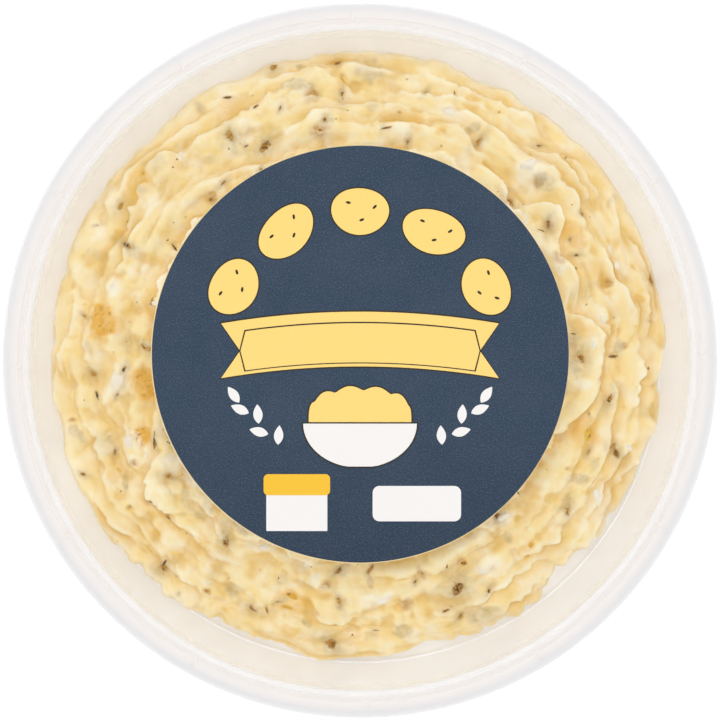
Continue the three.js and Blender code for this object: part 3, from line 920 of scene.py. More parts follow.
class Heap:
    """The salad's form: the model's folds, with thin folds between them, ragged fronts, relief of
    lumps and drag marks, and mounds of dressing over the pieces."""

    def __init__(self):
        self.folds = [Fold(index, FOLD_SEED + 31 * index) for index in range(FOLD_COUNT)]
        self.folds[LONG_TONGUES_ON].tongues += LONG_TONGUES
        random = Source(TONGUE_SEED)
        for i in range(TONGUE_COUNT):
            tongues = self.folds[1 + math.floor(random() * 6)].tongues
            degrees = 360 * (i + 0.8 * random()) / TONGUE_COUNT
            tongues.append((degrees, 1.5 + 2.2 * random(), 4 + 6 * random(), 0.3 + 0.6 * random()))
        random = Source(BULGE_SEED)
        self.bulges, self.mounds = [], []
        for i in range(BULGE_COUNT):
            angle = TAU * (i + 0.9 * random()) / BULGE_COUNT
            radius = 50 + 20 * random()
            size = 2.2 + 3.2 * random() ** 2
            lumpy = 0.675 + 0.325 * math.cos(angle - BULGY_SIDE)
            self.bulges.append((*flat_place(radius, angle), size, 0.24 * size * lumpy))
        random = Source(SWELL_SEED)
        self.swell = lumps(random, 6, (9, 22), 0.2)
        self.drift = lumps(random, 5, (14, 30), 0.45)
        self.thin_folds = [Fold(i + 0.5, THIN_SEED + 31 * i, *THIN_LIP) for i in range(FOLD_COUNT)]
        for i, place in enumerate(FINE_PLACES):
            self.thin_folds.append(Fold(place, FINE_SEED + 31 * i, *FINE_LIP))
        for fold in self.thin_folds:
            buried = BURIED + (BURIED_INNER if fold.index > INNER_FROM else [])
            fold.tongues += [(degrees, 0, width, lift) for degrees, width, lift in buried]
        bands = [(48, 80, 3, 0.16, True), (90, 150, 3, 0.09, True)]
        self.rim_notches = angular_waves(Source(RIM_NOTCH_SEED), bands)

    def rim(self, angle):
        """Radius of the lowest fold's front, which the wall may hold back."""
        lowest = self.folds[0]
        notches = lowest.ragged(angle) + self.rim_notches(angle) * np.clip(0.8 + np.sin(5 * angle), 0, 1.5)
        pressed = 0.1 * (1 + np.sin(9 * angle)) - 0.5 * np.minimum(notches, 0)
        limit = wall_radius(lowest.height(angle) - LIP_DEPTH) - WALL_GAP - pressed
        free = mean_radius(angle) + lowest.outline(angle) + notches
        for degrees, reach, width in RIM_REACHES:
            free = free + reach * nearness(angle, degrees, width, 1.5)
        dips = sum(depth * nearness(angle, degrees, width, 1.5) for degrees, depth, width in RIM_DIPS)
        return np.minimum(free, limit - dips)

    def fold_radius(self, fold, angle):
        """Radius of a fold's front, before the drift."""
        if fold.index == 0:
            return self.rim(angle)
        setback = (fold.index + FOLD_TURNS * np.sin(angle / 2) ** 2) * FOLD_SETBACK
        reach = sum(t[1] * nearness(angle, t[0], t[2], 0.8) for t in fold.tongues)
        ragged = fold.ragged(angle)
        return mean_radius(angle) - setback + fold.outline(angle) + ragged + reach * (1 + TORN * ragged)

    def layers(self, radius, angle):
        """Each fold's layer here."""
        x, y = flat_place(radius, angle)
        drifted = radius + self.drift(x, y)
        wander = WANDER * turned_noise(x, y, *WANDER_NOISE)
        rim = self.rim(angle)
        layers = []
        for fold in self.folds:
            inside = self.fold_radius(fold, angle) - (drifted if fold.index else radius)
            layers.append(fold.layer(inside, angle))
        for fold in self.thin_folds:
            inside = np.minimum(self.fold_radius(fold, angle) - drifted, rim - 0.5 - radius) + wander
            layers.append(fold.layer(inside, angle))
        return layers

    def surface(self, radius, angle, coated=True):
        """Height of the salad above the table, in millimetres."""
        x, y = flat_place(radius, angle)
        top = uppermost(radius, self.layers(radius, angle))
        pile_up(top, x, y, self.bulges)
        top = top + self.swell(x, y) + relief(x, y, radius, angle)
        if coated:
            pile_up(top, x, y, self.mounds)
        return top

    def front(self, fold, angle):
        """Radius of a fold's front on the heap, where the drift has moved it."""
        wanted = self.fold_radius(fold, angle)
        radius = wanted
        for _ in range(3 if fold.index else 0):
            radius = wanted - self.drift(*flat_place(radius, angle))
        return radius

    def ring_radii(self, angle):
        """Radii of the heap's rings at each angle, closer together at the fronts of folds."""
        share = np.linspace(0, 1, 360)
        radii = HEAP_COARSE_RADIUS + (self.rim(angle)[:, None] - HEAP_COARSE_RADIUS) * share[None, :]
        crowd = np.zeros(radii.shape)
        for fold in self.folds + self.thin_folds:
            front = self.front(fold, angle)[:, None]
            crowd = np.maximum(crowd, np.exp(-(((radii - front) / RING_REACH) ** 2)))
        passed = np.cumsum(1 + RING_CROWDING * blurred(crowd, 1, 4), axis=1)
        passed = (passed - passed[:, :1]) / (passed[:, -1:] - passed[:, :1])
        wanted = np.linspace(0, 1, HEAP_OUTER_RINGS)
        return np.array([np.interp(wanted, passed[i], radii[i]) for i in range(len(angle))])

    def marks(self, radius, angle):
        """From 0 to 1, a painted highlight by how near each point is to its own fold's rounded front, and a
        painted shade by how near it lies below a higher fold's front.
        """
        layers = self.layers(radius, angle)
        top = uppermost(radius, layers)
        lip, crease = np.zeros(radius.shape), np.zeros(radius.shape)
        for inside, height, edge, crisp in layers:
            mine = (inside >= 0) & (height > top - 0.05)
            near = np.exp(-(((inside - LIP_LINE) / LIP_GLOW_WIDTH) ** 2)) * crisp
            lip = np.maximum(lip, np.where(mine, near, 0))
            step = unit((edge - top - 0.1) / CREASE_STEP)
            below = np.exp(np.minimum(inside, 0) / CREASE_REACH) * step * (0.25 + 0.75 * crisp)
            crease = np.maximum(crease, np.where(inside < 0, below, 0))
        return lip, crease


def blurred(grid, turns, times):
    """Softens a grid of [angle, ring] values, which closes round in its first direction."""
    for _ in range(times):
        grid = (np.roll(grid, turns, 0) + grid + np.roll(grid, -turns, 0)) / 3
        padded = np.concatenate([grid[:, :1], grid, grid[:, -1:]], axis=1)
        grid = (padded[:, :-2] + padded[:, 1:-1] + padded[:, 2:]) / 3
    return grid


def stains(x, y, items, grow, soft):
    """From 1 on each piece to 0 beyond it, with an uneven edge. soft is the width of the edge as a
    share of the stain."""
    value = np.zeros(np.shape(x))
    for radius, angle, turn, sizes, _, _ in items:
        px, py = flat_place(radius, angle)
        half, side = grow * sizes[0] / 2, grow * max(sizes[1], 0.4 * sizes[0]) / 2
        near = (np.abs(x - px) < 2 * half) & (np.abs(y - py) < 2 * half)
        dx, dy = x[near] - px, y[near] - py
        along = (dx * math.cos(turn) + dy * math.sin(turn)) / half
        across = (dy * math.cos(turn) - dx * math.sin(turn)) / side
        away = np.hypot(along, across) + 0.3 * turned_noise(x[near] + 9, y[near], *STAIN_NOISE)
        value[near] = np.maximum(value[near], unit((1 + soft / 2 - away) / soft))
    return value


def dressing_marks(heap, rim, radii, angles, height, level):
    """From 0 to 1, the painted highlight on the dressing's lips and raised parts and the amber painted
    shade in its creases and hollows. level is the blurred height, above and below which the surface
    stands."""
    x, y = flat_place(radii, angles)
    patch = 0.5 + 0.5 * np.clip(1.6 * turned_noise(x, y, *CREASE_NOISE), -1, 1)
    other = 0.5 + 0.5 * np.clip(1.6 * turned_noise(x, y, *LIP_NOISE), -1, 1)
    lip, crease = heap.marks(radii, angles)
    hollow = unit((level - height) / 0.45) * 0.6
    drag = drag_marks(radii, angles)
    crease = np.maximum(crease * (0.42 + 0.58 * patch**1.5), hollow * (0.45 + 0.55 * patch))
    crease += unit(-drag) * 0.1
    crease = unit(crease * np.clip((rim - radii) / 0.6, 0.3, 1))
    lip = lip * (0.2 + 0.6 * other) + unit((height - level) / 0.6) * 0.25 + unit(drag) * 0.12
    return {"lip": unit(lip) * (1 - 0.6 * crease), "crease": crease}


def heap_grid(heap, angles):
    """The heap's surface points in millimetres as [angle, ring] grids of radius, angle and height,
    its fronts leaning out over the creases below them, and its painted highlight and painted shade
    for the dressing's colours."""
    rim = heap.rim(angles)[:, None]
    radii = heap.ring_radii(angles)
    grid_angles = np.repeat(angles[:, None], radii.shape[1], 1)
    height = heap.surface(radii, grid_angles)
    height = 0.7 * height + 0.3 * blurred(height, 1, 1)
    level = blurred(height, 2, 14)
    slope_out = np.gradient(level, axis=1) / np.maximum(np.gradient(radii, axis=1), 1e-6)
    turn = TAU / HEAP_STEPS
    slope_round = (np.roll(level, -1, 0) - np.roll(level, 1, 0)) / (2 * turn * np.maximum(radii, 1))
    steep = np.sqrt(slope_out**2 + slope_round**2) + 0.15
    fade = unit((radii - HEAP_COARSE_RADIUS) / 3) * unit((rim - radii) / 0.8)
    lean = OVERHANG * (height - level) * fade
    fields = dressing_marks(heap, rim, radii, grid_angles, height, level)
    moved_radii = radii - lean * slope_out / steep
    moved_angles = grid_angles - lean * slope_round / steep / np.maximum(radii, 1)
    return moved_radii, moved_angles, height, fields, flat_place(radii, grid_angles)


def heap_sides(rim, last_height, angles):
    """Radii and heights of the heap's side below its rim, drawn in a little and clear of the wall."""
    radii, heights = [], []
    for part, setback in ((0.9, 0.15), (0.6, 0.6), (0.3, 0.9)):
        level = FLOOR + part * (last_height - FLOOR)
        around, row = angles / TAU * CRUMBS_ROUND, np.full(HEAP_STEPS, part * 9)
        crumb = CRUMB * smooth_noise(row, around, 1, CRUMB_SEED, CRUMBS_ROUND)
        radii.append(np.minimum(rim - setback - abs(crumb), wall_radius(level) - WALL_GAP * 0.6))
        heights.append(level)
    radii.append(np.minimum(rim - 1.2, FLOOR_FLAT - 0.6))
    heights.append(np.full(HEAP_STEPS, FLOOR + 0.02))
    return np.array(radii).T, np.array(heights).T


def heap_middle(heap, first):
    """Points and faces of the heap's middle, which lies under the label and so is coarse. Its outer
    faces reach the fine grid's first ring, whose points are given by first(angle number)."""
    steps, finer = HEAP_INNER_STEPS, HEAP_STEPS // HEAP_INNER_STEPS
    rings = HEAP_COARSE_RADIUS * np.arange(1, HEAP_INNER_RINGS + 1) / (HEAP_INNER_RINGS + 1)
    radius, angle = np.meshgrid(rings, np.arange(steps) / steps * TAU)
    height = heap.surface(radius, angle)
    top = heap.surface(np.array([0.0]), np.array([0.0]))
    points = np.stack([*flat_place(radius, angle), height], -1).reshape(-1, 3)
    points = np.concatenate([points, [[0, 0, float(top[0])]]])
    count, middle = HEAP_INNER_RINGS, len(points) - 1
    faces = []
    for i in range(steps):
        j = (i + 1) % steps
        faces.append([middle, i * count, j * count])
        for ring in range(count - 1):
            faces.append([i * count + ring, i * count + ring + 1, j * count + ring + 1, j * count + ring])
        here, there = i * count + count - 1, j * count + count - 1
        for k in range(finer):
            corner = here if k < finer // 2 else there
            faces.append([corner, first(i * finer + k), first(i * finer + k + 1)])
        faces.append([here, first(i * finer + finer // 2), there])
    return points, faces


def grid_faces(rings, bottom):
    """Faces between the heap's rings, and from the last ring to the bottom's middle point."""
    step = np.arange(HEAP_STEPS)
    here, after = step * rings, (step + 1) % HEAP_STEPS * rings
    faces = []
    for ring in range(rings - 1):
        faces += np.stack([here + ring, here + ring + 1, after + ring + 1, after + ring], 1).tolist()
    low = [np.full(HEAP_STEPS, bottom), after + rings - 1, here + rings - 1]
    return faces + np.stack(low, 1).tolist()


def add_stains(fields, x, y, stain_kinds):
    """Adds each stain to the marks for the dressing's colours. The painted highlight along the lips is
    weaker over potato.
    """
    for name, rows in stain_kinds.items():
        layers = [strength * stains(x, y, items, grow, soft) for items, grow, soft, strength in rows]
        fields[name] = np.maximum.reduce(layers)
    fields["lip"] = fields["lip"] * (1 - 0.7 * fields["potato"])


def make_heap(heap, material, stain_kinds):
    """The dressed salad: the heap's surface on a fine polar grid, its side and its flat bottom.
    stain_kinds gives (items, growth, softness, strength) rows for each stain's name."""
    angles = np.arange(HEAP_STEPS) / HEAP_STEPS * TAU
    radii, grid_angles, height, fields, place = heap_grid(heap, angles)
    side_radii, side_heights = heap_sides(heap.rim(angles), height[:, -1], angles)
    sides = side_radii.shape[1]
    radii = np.concatenate([radii, side_radii], axis=1)
    height = np.concatenate([height, side_heights], axis=1)
    grid_angles = np.concatenate([grid_angles, np.repeat(angles[:, None], sides, 1)], axis=1)
    rings = radii.shape[1]
    grid = np.stack([*flat_place(radii, grid_angles), height], -1).reshape(-1, 3)
    bottom = len(grid)
    start = bottom + 1

    def first(number):
        return (number % HEAP_STEPS) * rings - start

    middle_points, middle_faces = heap_middle(heap, first)
    points = np.concatenate([grid, [[0, 0, FLOOR + 0.02]], middle_points])
    faces = [[corner + start for corner in face] for face in middle_faces] + grid_faces(rings, bottom)
    add_stains(fields, *place, stain_kinds)
    full = {}
    for name, values in fields.items():
        edge = np.repeat(values[:, -1:], sides, 1)
        full[name] = np.zeros(len(points))
        full[name][:bottom] = np.concatenate([values, edge], axis=1).reshape(-1)
    piece = settle(new_piece("salad_heap", points, faces, full), material)
    bpy.ops.object.shade_smooth()
    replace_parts(piece, "salad")


def spread_places(heap, random, count, start=PIECES_FROM, end=PIECES_TO):
    """Places on the heap's surface, spread evenly round it, as in the model."""
    places = []
    for i in range(count):
        angle = (i + 0.9 * random()) / count * TAU
        share = start + (end - start) * random()
        places.append((share * float(heap.rim(np.array([angle]))[0]), angle, random() * math.pi))
    return places


def surface_frame(heap, radius, angle, coated):
    """The point on the bare or dressed heap here, and the direction that its surface faces."""
    step = 0.9
    x, y = radius * math.cos(angle), radius * math.sin(angle)
    xs = np.array([x, x + step, x - step, x, x])
    ys = np.array([y, y, y, y + step, y - step])
    z = heap.surface(np.hypot(xs, ys), np.arctan2(ys, xs), coated=coated)
    normal = Vector(((z[2] - z[1]) / (2 * step), (z[4] - z[3]) / (2 * step), 1.5))
    return Vector((x, y, float(z[0]))), normal.normalized()


def base_ball(level):
    """Corner points and faces of a small ball."""
    deselect()
    bpy.ops.mesh.primitive_ico_sphere_add(subdivisions=level, radius=0.5)
    ball = bpy.context.object
    points = np.array([v.co for v in ball.data.vertices])
    faces = [list(p.vertices) for p in ball.data.polygons]
    bpy.data.objects.remove(ball)
    return points, faces


def placed(shape, heap, radius, angle, turn, sunk, tilt=0.0, coated=False):
    """A small shape's points laid on the heap here."""
    place, normal = surface_frame(heap, radius, angle, coated)
    lie = Vector((0, 0, 1)).rotation_difference(normal).to_matrix()
    spin = Matrix.Rotation(turn, 3, "Z") @ Matrix.Rotation(tilt, 3, "Y")
    return shape @ np.array(lie @ spin).T + np.array(place) - np.array(normal) * sunk


def joined(name, parts, material):
    """One mesh from (points in millimetres, faces, thin) parts, each with a tone from -0.5 to 0.5.
    thin is 1 at the points of a thin edge and 0 elsewhere."""
    faces, tones, count = [], [], 0
    random = Source(sum(ord(letter) for letter in name))
    for points, part_faces, _ in parts:
        faces += [[i + count for i in face] for face in part_faces]
        tones += [random() - 0.5] * len(points)
        count += len(points)
    points, thin = (np.concatenate([part[k] for part in parts]) for k in (0, 2))
    piece = new_piece(name, points, faces, {"tone": tones, "thin": thin})
    settle(piece, material, 50)


def cut_lump(ball, sizes, seed, blocky):
    """A ball's points made into an uneven lump, with flat cuts where it is blocky."""
    random = Source(seed)

    def any_way():
        way = np.array([random() - 0.5 for _ in range(3)])
        return way / (np.linalg.norm(way) + 1e-9)

    shape = ball.copy()
    for _ in range(6):
        way, phase = any_way(), random() * 6.3
        shape *= (1 + 0.08 * np.sin(8 * (shape @ way) + phase))[:, None]
    for _ in range(6 if blocky else 0):
        way = any_way()
        limit = 0.5 * (1 - blocky * (0.3 + 0.4 * random()))
        shape -= np.clip(shape @ way - limit, 0, None)[:, None] * way[None, :] * 0.95
    return shape * np.array(sizes)


def lump_bits(name, heap, items, level, blocky, material):
    """Lumps as one mesh. Each item is (radius, angle, turn, sizes, sunk, seed)."""
    ball, faces = base_ball(level)
    parts = []
    for radius, angle, turn, sizes, sunk, seed in items:
        points = placed(cut_lump(ball, sizes, seed, blocky), heap, radius, angle, turn, sunk)
        parts.append((points, faces, np.zeros(len(points))))
    joined(name, parts, material)


def torn_bit(sizes, seed):
    """Points and faces of a thin torn bit with a ragged outline and a slight curl, and its tilt."""
    random = Source(seed)
    corners = 13 + math.floor(random() * 7)
    length, width, thickness = sizes
    curl, tilt = (random() - 0.4) * 0.25, (random() - 0.5) * 0.3
    around = TAU * (np.arange(corners) + 0.4 * random()) / corners
    reach = np.array([0.6 + 0.4 * random() for _ in range(corners)])
    x, y = length / 2 * reach * np.cos(around), width / 2 * reach * np.sin(around)
    z = curl * (x * x / length - length / 8)
    thin, low = thickness / 2, curl * length / 8
    rows = [(x, y, z + thin), (x * 1.04, y * 1.04, z), (x, y, z - thin)]
    middles = [[0, 0, thin * 1.3 - low], [0, 0, -thin * 1.3 - low]]
    faces = []
    for i in range(corners):
        j = (i + 1) % corners
        faces += [[3 * corners, i, j], [i, corners + i, corners + j, j]]
        faces += [[corners + i, 2 * corners + i, 2 * corners + j, corners + j]]
        faces += [[3 * corners + 1, 2 * corners + j, 2 * corners + i]]
    return np.concatenate([*(np.stack(row, 1) for row in rows), middles]), faces, tilt


def torn_bits(name, heap, items, material):
    """Thin torn bits of leaf or skin as one mesh, whose edges are thin."""
    parts = []
    for radius, angle, turn, sizes, sunk, seed in items:
        shape, faces, tilt = torn_bit(sizes, seed)
        points = placed(shape, heap, radius, angle, turn, sunk, tilt, coated=True)
        parts.append((points, faces, np.concatenate([np.ones(len(points) - 2), np.zeros(2)])))
    joined(name, parts, material)


def chunk_items(heap):
    """The model's rounded lumps, by turns egg white and potato."""
    random = Source(CHUNK_SEED)
    items = []
    for i, place in enumerate(spread_places(heap, random, CHUNK_COUNT)):
        length = 3.5 + 4.5 * random() ** 2
        sizes = (length, length * (0.55 + 0.25 * random()), length * 0.45)
        items.append((*place, sizes, length * 0.1, CHUNK_SHAPE_SEED + 17 * i))
    return items[1::2], items[::2]


def fleck_items(heap):
    """The model's cut bits of gherkin and herb, as thin torn bits."""
    random = Source(FLECK_SEED)
    items = []
    for i, place in enumerate(spread_places(heap, random, FLECK_COUNT)):
        length = 1.6 + 2 * random()
        sizes = (length, length * (0.35 + 0.25 * random()), FLECK_THICKNESS)
        items.append((*place, sizes, FLECK_SUNK, FLECK_SHAPE_SEED + 13 * i))
    return items


def more_items(heap, seed, count, lengths, widths, thickness, sunk, end=0.97):
    """More pieces of one kind, spread by the same rule."""
    random = Source(seed)
    items = []
    for i, place in enumerate(spread_places(heap, random, count, end=end)):
        length = lengths[0] + (lengths[1] - lengths[0]) * random() ** 2
        width = length * (widths[0] + (widths[1] - widths[0]) * random())
        sizes = (length, width, thickness * length)
        items.append((*place, sizes, sunk * length * (0.5 + random()), seed + 29 * i))
    return items


def noticed(thickness, sunk, seed, places):
    """Pieces at noticed places: x, y, length and width in millimetres and a turn in degrees."""
    items = []
    for i, (x, y, length, width, degrees) in enumerate(places):
        place = (math.hypot(x, y), math.atan2(y, x), math.radians(degrees))
        items.append((*place, (length, width, thickness * length), sunk * length, seed + 29 * i))
    return items


def clear_of(items, others, gap):
    """The items that lie further than gap from all the others."""
    kept = []
    for item in items:
        x, y = item[0] * math.cos(item[1]), item[0] * math.sin(item[1])
        if all(math.hypot(x - r * math.cos(a), y - r * math.sin(a)) > gap for r, a, *_ in others):
            kept.append(item)
    return kept


def cover(heap, items, share, wider):
    """Mounds of dressing over pieces, this share of their height."""
    for radius, angle, _, sizes, _, _ in items:
        heap.mounds.append((*flat_place(radius, angle), wider * sizes[0], share * sizes[2]))


def make_stage():
    """White floor, surroundings brightest low down, and one large soft light overhead."""
    deselect()
    bpy.ops.mesh.primitive_plane_add(size=6.0, location=(0, 0, 0))
    floor = bpy.context.object
    floor.name = "floor"
    floor.data.materials.append(studio_white())
    world = bpy.data.worlds.new("studio")
    bpy.context.scene.world = world
    world.use_nodes = True
    tree = world.node_tree
    background = tree.nodes["Background"]
    background.inputs["Color"].default_value = (1, 1, 1, 1)
    up = add_node(tree, "SeparateXYZ", {0: add_node(tree, "TexCoord", output="Generated")}, "Z")
    tree.links.new(spread(tree, up, 0.35, 0.85, 1.4, 0.45), background.inputs["Strength"])
    light = bpy.data.lights.new("soft_box_overhead", "AREA")
    light.shape, light.size, light.energy = "DISK", 0.6, 4.0
    lamp = new_object("soft_box_overhead", light)
    lamp.location = (-0.06, 0.16, 1.2)
    lamp.rotation_euler = (Vector((0, 0, 0.03)) - lamp.location).to_track_quat("-Z", "Y").to_euler()
    bpy.context.scene.view_settings.view_transform = "Standard"


def make_camera():
    """The photograph's view: from straight above, leaning back by under a degree."""
    elevation, distance, frame_width = math.radians(89.14), 0.9, 0.1709
    target = Vector((0, 0, 0.0424))
    back = Vector((0, -math.cos(elevation), math.sin(elevation)))
    camera = bpy.data.cameras.new("camera")
    camera.sensor_width = 36.0
    camera.lens = 36.0 * distance / frame_width
    camera.clip_start, camera.clip_end = 0.05, 20.0
    holder = new_object("camera", camera)
    holder.location = target + back * distance
    holder.rotation_euler = (-back).to_track_quat("-Z", "Y").to_euler()
    bpy.context.scene.camera = holder


make_camera()
make_stage()

make_tub(milky_polypropylene())
make_corner_line(white_polypropylene())
# The thick rim: painted darker towards its outer edge, painted shade where it rounds over, with a strong
# painted glow
stops = [(81.0, "#D1CDCA"), (83.4, "#C9C8C8"), (85.0, "#C2C2C4")]
rim_plastic = clear_polypropylene("thick_clarified_polypropylene", 0.8, 0.35, stops, 0.7)
# The bead: a weaker painted glow; the clear panel has none
stops = [(76.6, "#E7E3DC"), (78.7, "#E0DFDF"), (81, "#E0DBD6")]
bead_plastic = clear_polypropylene("clarified_polypropylene_bead", 0.18, 0.3, stops, 0.45)
stops = [(0, "#FFFFFF"), (80, "#FFFFFF")]
panel_plastic = clear_polypropylene("clarified_polypropylene_sheet", 0.0, 0.08, stops, 0.0)
make_lid(panel_plastic, bead_plastic, rim_plastic)
make_ribs(rim_plastic)

white = coated_paper("white", "#EFECEA", "#F8F6F5", 0.2)
yellow = coated_paper("pale_yellow", "#F9D578", "#FDE3A2", 0.25)
deep_yellow = coated_paper("deep_yellow", "#F2BE2A", "#F8D25C", 0.25)
# The dark blue is painted darker towards the label's foot: painted shade, as less light falls there
dark_blue = coated_paper("dark_blue", "#23384D", "#667890", 0.5, foot="#1A2E42")
dark = coated_paper("outline_black", "#2A2415", "#4A4436", 0.2)
make_label(coated_paper("cut_edge", "#F3DAA8", "#F9E6C2", 0.25))
print_piece("field", [oval(*FIELD_PLACE, FIELD_RADIUS, FIELD_RADIUS, steps=TURN_STEPS)], 0, dark_blue)

potatoes, eyes = [], []
for i in range(5):
    around = math.radians(152 - 31 * i)
    x, y = POTATO_ARC * math.cos(around), POTATO_ARC * math.sin(around)
    along, across, lean = (7.4, 5.3, 0.22) if i % 2 else (6.7, 5.7, -0.12)
    turn = around - math.pi / 2 + lean
    potatoes.append((x, y, along, across, turn, POTATO_UNEVEN))
    for u, v in ((-0.45, 0.3), (0.1, -0.35), (0.5, 0.25)):
        eye = laid([(u * along, v * across)], x, y, turn)[0]
        eyes.append(oval(*eye, 0.62, 0.3, turn + 0.4 + u, steps=16))
for name, grow, layer, ink in (("outlines", LINE, 1, dark), ("yellow", 0.0, 2, yellow)):
    shapes = [oval(*potato, grow=grow) for potato in potatoes]
    print_piece(name, [*shapes, ribbon(0, 0.8, 66, 13.0, 4.5, 2.8, grow=grow)], layer, ink)
print_piece("eyes", eyes, 3, dark)
print_piece("ribbon_line", [ribbon(0, 0.8, 55, 9.9, -1.2, 1.95)], 3, dark)
print_piece("ribbon_middle", [ribbon(0, 0.8, 54.4, 9.3, -1.2, 1.9)], 4, yellow)
for name, shape, sizes, layer, ink in (
    ("mound", mound_shape, (0, -16.5, 12.2, 9.0), 1, yellow),
    ("bowl", bowl_shape, (0, -16.5, 13.5, 10.5), 3, white),
):
    print_piece(name + "_outline", [shape(*sizes, grow=LINE)], layer, dark)
    print_piece(name, [shape(*sizes)], layer + 1, ink)
sprigs = []
for side in (1, -1):
    for step, lean in enumerate((0.9, -0.5, 0.75, -0.35, 0.2)):
        turn = 0.75 + lean if side == 1 else math.pi - 0.75 - lean
        sprigs.append(leaf(side * (19.5 + 2.3 * step), -21.5 + 2.5 * step, 4.6, 2.2, turn))
print_piece("leaves", sprigs, 1, white)
boxes = [rounded_box(-15, -37.2, 14.5, 9.6, 0.2), rounded_box(13.5, -35.5, 21, 8.4, 1.6)]
print_piece("white", boxes, 1, white)
print_piece("banner", [rounded_box(-15, -31.0, 15.8, 5.0, 1.1)], 2, deep_yellow)

# Pieces that stand out in the salad: x, y, length and width in millimetres, and a turn in degrees
noticed_eggs = noticed(0.42, 0.1, 21001, [
    (-51.3, -23.4, 4.4, 2.6, 80), (-45.4, -25.0, 4.8, 2.9, 50), (-23.6, -45.2, 4.8, 1.9, -10),
    (-13.1, -49.4, 3.0, 2.2, 20), (12.7, -67.2, 3.2, 2.4, 50), (5.9, -57.7, 4.8, 2.3, 35),
    (31.3, -50.1, 5.8, 3.8, 20), (-27.0, 54.5, 3.0, 2.0, 90), (-37.2, -53.8, 2.5, 1.5, 0),
    (48.2, 22.8, 3.2, 1.6, 100), (56.2, 4.1, 2.2, 1.1, 80), (60.7, 27.2, 2.4, 1.5, 90),
])
noticed_potatoes = noticed(0.4, 0.16, 22003, [
    (-62.4, 9.6, 6.8, 5.6, 80), (-52.2, -5.4, 7.0, 4.8, -60), (-52.7, -17.9, 4.5, 3.0, 80),
])
# Potato that only tints the dressing
pool_items = noticed(0.3, 0.2, 23011, [
    (-55.4, 12.7, 6.0, 1.8, 85), (-49.2, -42.0, 3.6, 2.6, 70), (-60.0, 19.9, 2.4, 2.0, 30),
    (57.8, 21.6, 6.0, 3.6, -70), (71.0, -6.4, 5.0, 2.4, 90), (-31.0, 61.0, 6.4, 3.8, 20),
    (-5.9, 53.6, 3.6, 2.8, 0), (-11.6, -56.5, 5.0, 1.8, 0), (-38.0, -43.5, 4.0, 2.6, 30),
    (54.0, 7.0, 3.4, 2.4, 0),
])
gherkin_items = noticed(0.4, 0.24, 24001, [
    (2.5, 70.6, 7.3, 4.8, -20), (-15.1, 66.8, 6.8, 2.2, 0), (51.8, -0.9, 3.9, 2.9, 90),
    (30.3, -61.5, 8.0, 2.9, 10), (-31.2, -55.6, 4.0, 2.6, -30), (-37.6, -36.2, 4.2, 3.3, 40),
    (44.6, 43.5, 4.8, 3.0, -40), (10.2, -65.7, 4.0, 2.8, -20), (23.6, -57.9, 3.4, 2.8, 0),
    (62.6, 3.6, 2.8, 2.0, 60),
])
skin_items = noticed(0.16, 0.055, 25013, [
    (23.9, -55.0, 5.0, 3.8, 60), (-6.9, -69.0, 4.6, 2.4, -35), (-31.4, 54.3, 3.6, 2.2, -70),
    (-22.9, 51.9, 4.0, 2.2, 45), (53.2, 0.7, 3.6, 1.9, -80), (-48.0, -50.4, 3.6, 1.9, 20),
    (60.4, -9.4, 3.8, 1.4, 60), (-64.7, -3.0, 2.3, 1.8, 20), (-58.1, 37.6, 2.4, 1.5, 60),
    (-21.0, 71.4, 2.4, 1.7, 30), (71.0, 20.0, 3.4, 1.4, -72),
])
amber_items = noticed(0.45, 0.19, 26003, [
    (11.4, -58.8, 1.8, 1.5, 0), (-9.7, 55.5, 2.4, 2.0, 0), (-11.7, 64.3, 2.5, 1.8, 40),
    (-5.5, 72.4, 1.8, 1.3, 0), (60.0, 19.2, 1.5, 1.3, 0), (-36.0, 39.2, 1.8, 1.5, 0),
    (-54.8, -24.7, 1.5, 1.1, 0),
])
peel_items = noticed(0.12, 0.0, 27011, [
    (-49.4, -18.9, 5.3, 0.9, 82), (-63.7, -8.3, 3.0, 0.9, 110), (2.5, -50.3, 3.4, 1.1, 55),
    (-25.4, 61.4, 2.5, 0.7, 35), (-32.3, 64.0, 2.5, 0.8, 10), (-44.8, 27.4, 2.6, 0.7, -55),
    (-46.7, -37.9, 2.0, 0.7, -30), (20.8, -60.7, 2.3, 0.7, 20), (61.4, 1.2, 3.0, 0.9, 0),
])

# The model's pieces that keep clear of these, and more of each kind
heap = Heap()
apart = noticed_eggs + noticed_potatoes + gherkin_items + skin_items + amber_items + peel_items
chunk_eggs, chunk_potatoes = chunk_items(heap)
egg_items = clear_of(chunk_eggs, apart, LUMP_GAP) + noticed_eggs
egg_items += more_items(heap, 11003, 10, (2.2, 5.0), (0.45, 0.8), 0.42, 0.1)
plain_potatoes = clear_of(chunk_potatoes, apart, LUMP_GAP)
more_potatoes = more_items(heap, 12007, 8, (2.2, 5.0), (0.6, 0.9), 0.45, 0.24)
potato_items = plain_potatoes + noticed_potatoes + more_potatoes
plain_potatoes += more_potatoes
pool_items += more_items(heap, 17011, 40, (1.8, 7.0), (0.4, 0.9), 0.3, 0.2)
gherkin_items += more_items(heap, 14009, 16, (2.0, 5.5), (0.35, 0.75), 0.4, 0.26)
skin_items += clear_of(fleck_items(heap), apart, FLECK_GAP)
skin_items += more_items(heap, 13001, 22, (0.9, 3.0), (0.3, 0.75), 0.16, 0.06)
amber_items += more_items(heap, 18013, 16, (0.7, 2.0), (0.5, 0.9), 0.45, 0.17)
peel_items += more_items(heap, 19001, 14, (1.6, 4.0), (0.14, 0.3), 0.1, 0.0)
speck_items = more_items(heap, 15013, 170, (0.3, 0.8), (0.5, 0.9), 0.5, 0.1, end=0.99)
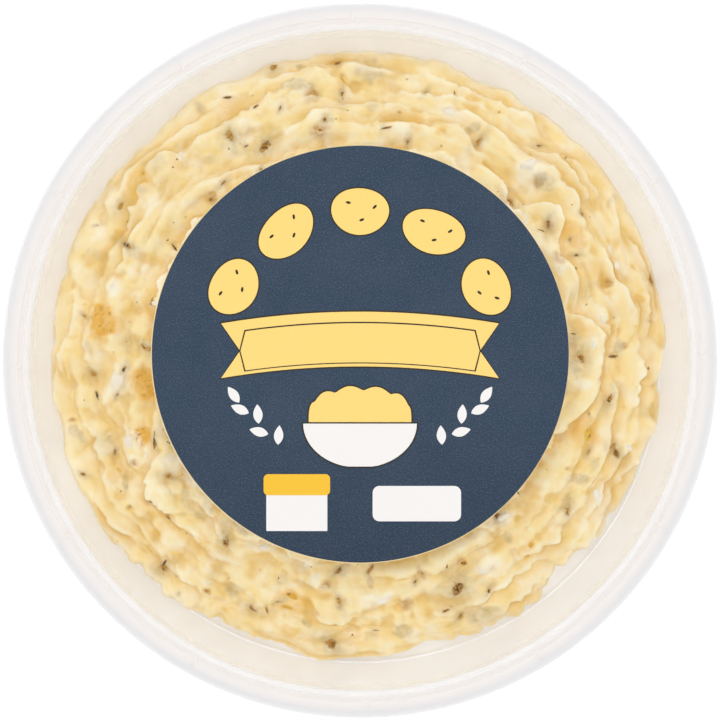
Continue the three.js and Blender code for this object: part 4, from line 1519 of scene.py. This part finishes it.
# Egg and herb that only tint the dressing
cover_items = more_items(heap, 11503, 34, (2.0, 6.0), (0.4, 0.9), 0.3, 0.2)
cloud_items = more_items(heap, 16001, 24, (2.5, 7.0), (0.4, 0.8), 0.3, 0.2)

cover(heap, egg_items, 0.12, 0.75)
cover(heap, noticed_potatoes, 0.15, 0.8)
cover(heap, plain_potatoes, 0.35, 0.9)
cover(heap, gherkin_items, 0.35, 0.8)
make_heap(heap, dressing(), {
    "potato": [
        (noticed_potatoes, 1.3, 0.55, 1.0), (plain_potatoes, 1.2, 0.5, 0.55), (pool_items, 1.1, 1.1, 0.4)
    ],
    "amber": [(amber_items, 1.7, 1.0, 1.0)],
    "herb": [
        (gherkin_items, 1.2, 0.55, 0.78), (cloud_items, 1.0, 0.9, 0.5),
        (skin_items, 2.3, 1.0, 0.7), (peel_items, 1.2, 1.0, 0.35),
    ],
    "egg": [(egg_items, 1.35, 0.5, 0.7), (cover_items, 1.0, 0.6, 0.35)],
    "skin": [(skin_items, 0.95, 1.0, 0.4), (peel_items, 0.9, 1.0, 0.2)],
})

# The pieces on the heap. A food's numbers are the size of its patches, its roughness and its glow.
stops = [(0.3, "#FDF1D8"), (0.7, "#FFFAEC")]
food = moist_food("boiled_egg_white", stops, 3, 0.35, 0.3)
lump_bits("egg_white_bits", heap, egg_items, 3, 0.8, food)
stops = [(0.3, "#E2AE20"), (0.5, "#ECBE34"), (0.7, "#F3CC5C")]
food = moist_food("boiled_potato", stops, 1.8, 0.35, 0.2, pores="#A0700E")
lump_bits("potato_bits", heap, potato_items, 3, 0.5, food)
stops = [(0.3, "#5E5222"), (0.4, "#948754"), (0.5, "#BCAC7C"), (0.7, "#D6CAA4")]
food = moist_food("pickled_gherkin", stops, 1.3, 0.3, 0.4)
lump_bits("gherkin_bits", heap, gherkin_items, 3, 0.7, food)
stops = [(0.36, "#3A2A04"), (0.43, "#765004"), (0.49, "#A66E06"), (0.56, "#C08A14"), (0.65, "#D0A850")]
food = moist_food("chopped_herb", stops, 0.6, 0.55, 0.0, toned=0.16, wet=1.2, edge="#CDA560")
torn_bits("herb_flecks", heap, skin_items, food)
stops = [(0.35, "#8A5806"), (0.5, "#B0780A"), (0.65, "#CC9828")]
food = moist_food("pickled_gherkin_skin", stops, 0.8, 0.4, 0.1, wet=1.25)
lump_bits("gherkin_seeds", heap, amber_items, 2, 0.6, food)
stops = [(0.35, "#4E3604"), (0.5, "#8A5E0A"), (0.66, "#BC8A2C")]
food = moist_food("potato_peel", stops, 0.8, 0.5, 0.0, wet=1.2, edge="#C69A50")
torn_bits("peel_strips", heap, peel_items, food)
food = moist_food("ground_spice", [(0.3, "#7A4C14"), (0.7, "#B27E2A")], 0.6, 0.6, 0.0)
lump_bits("spice_specks", heap, speck_items, 1, 0.0, food)
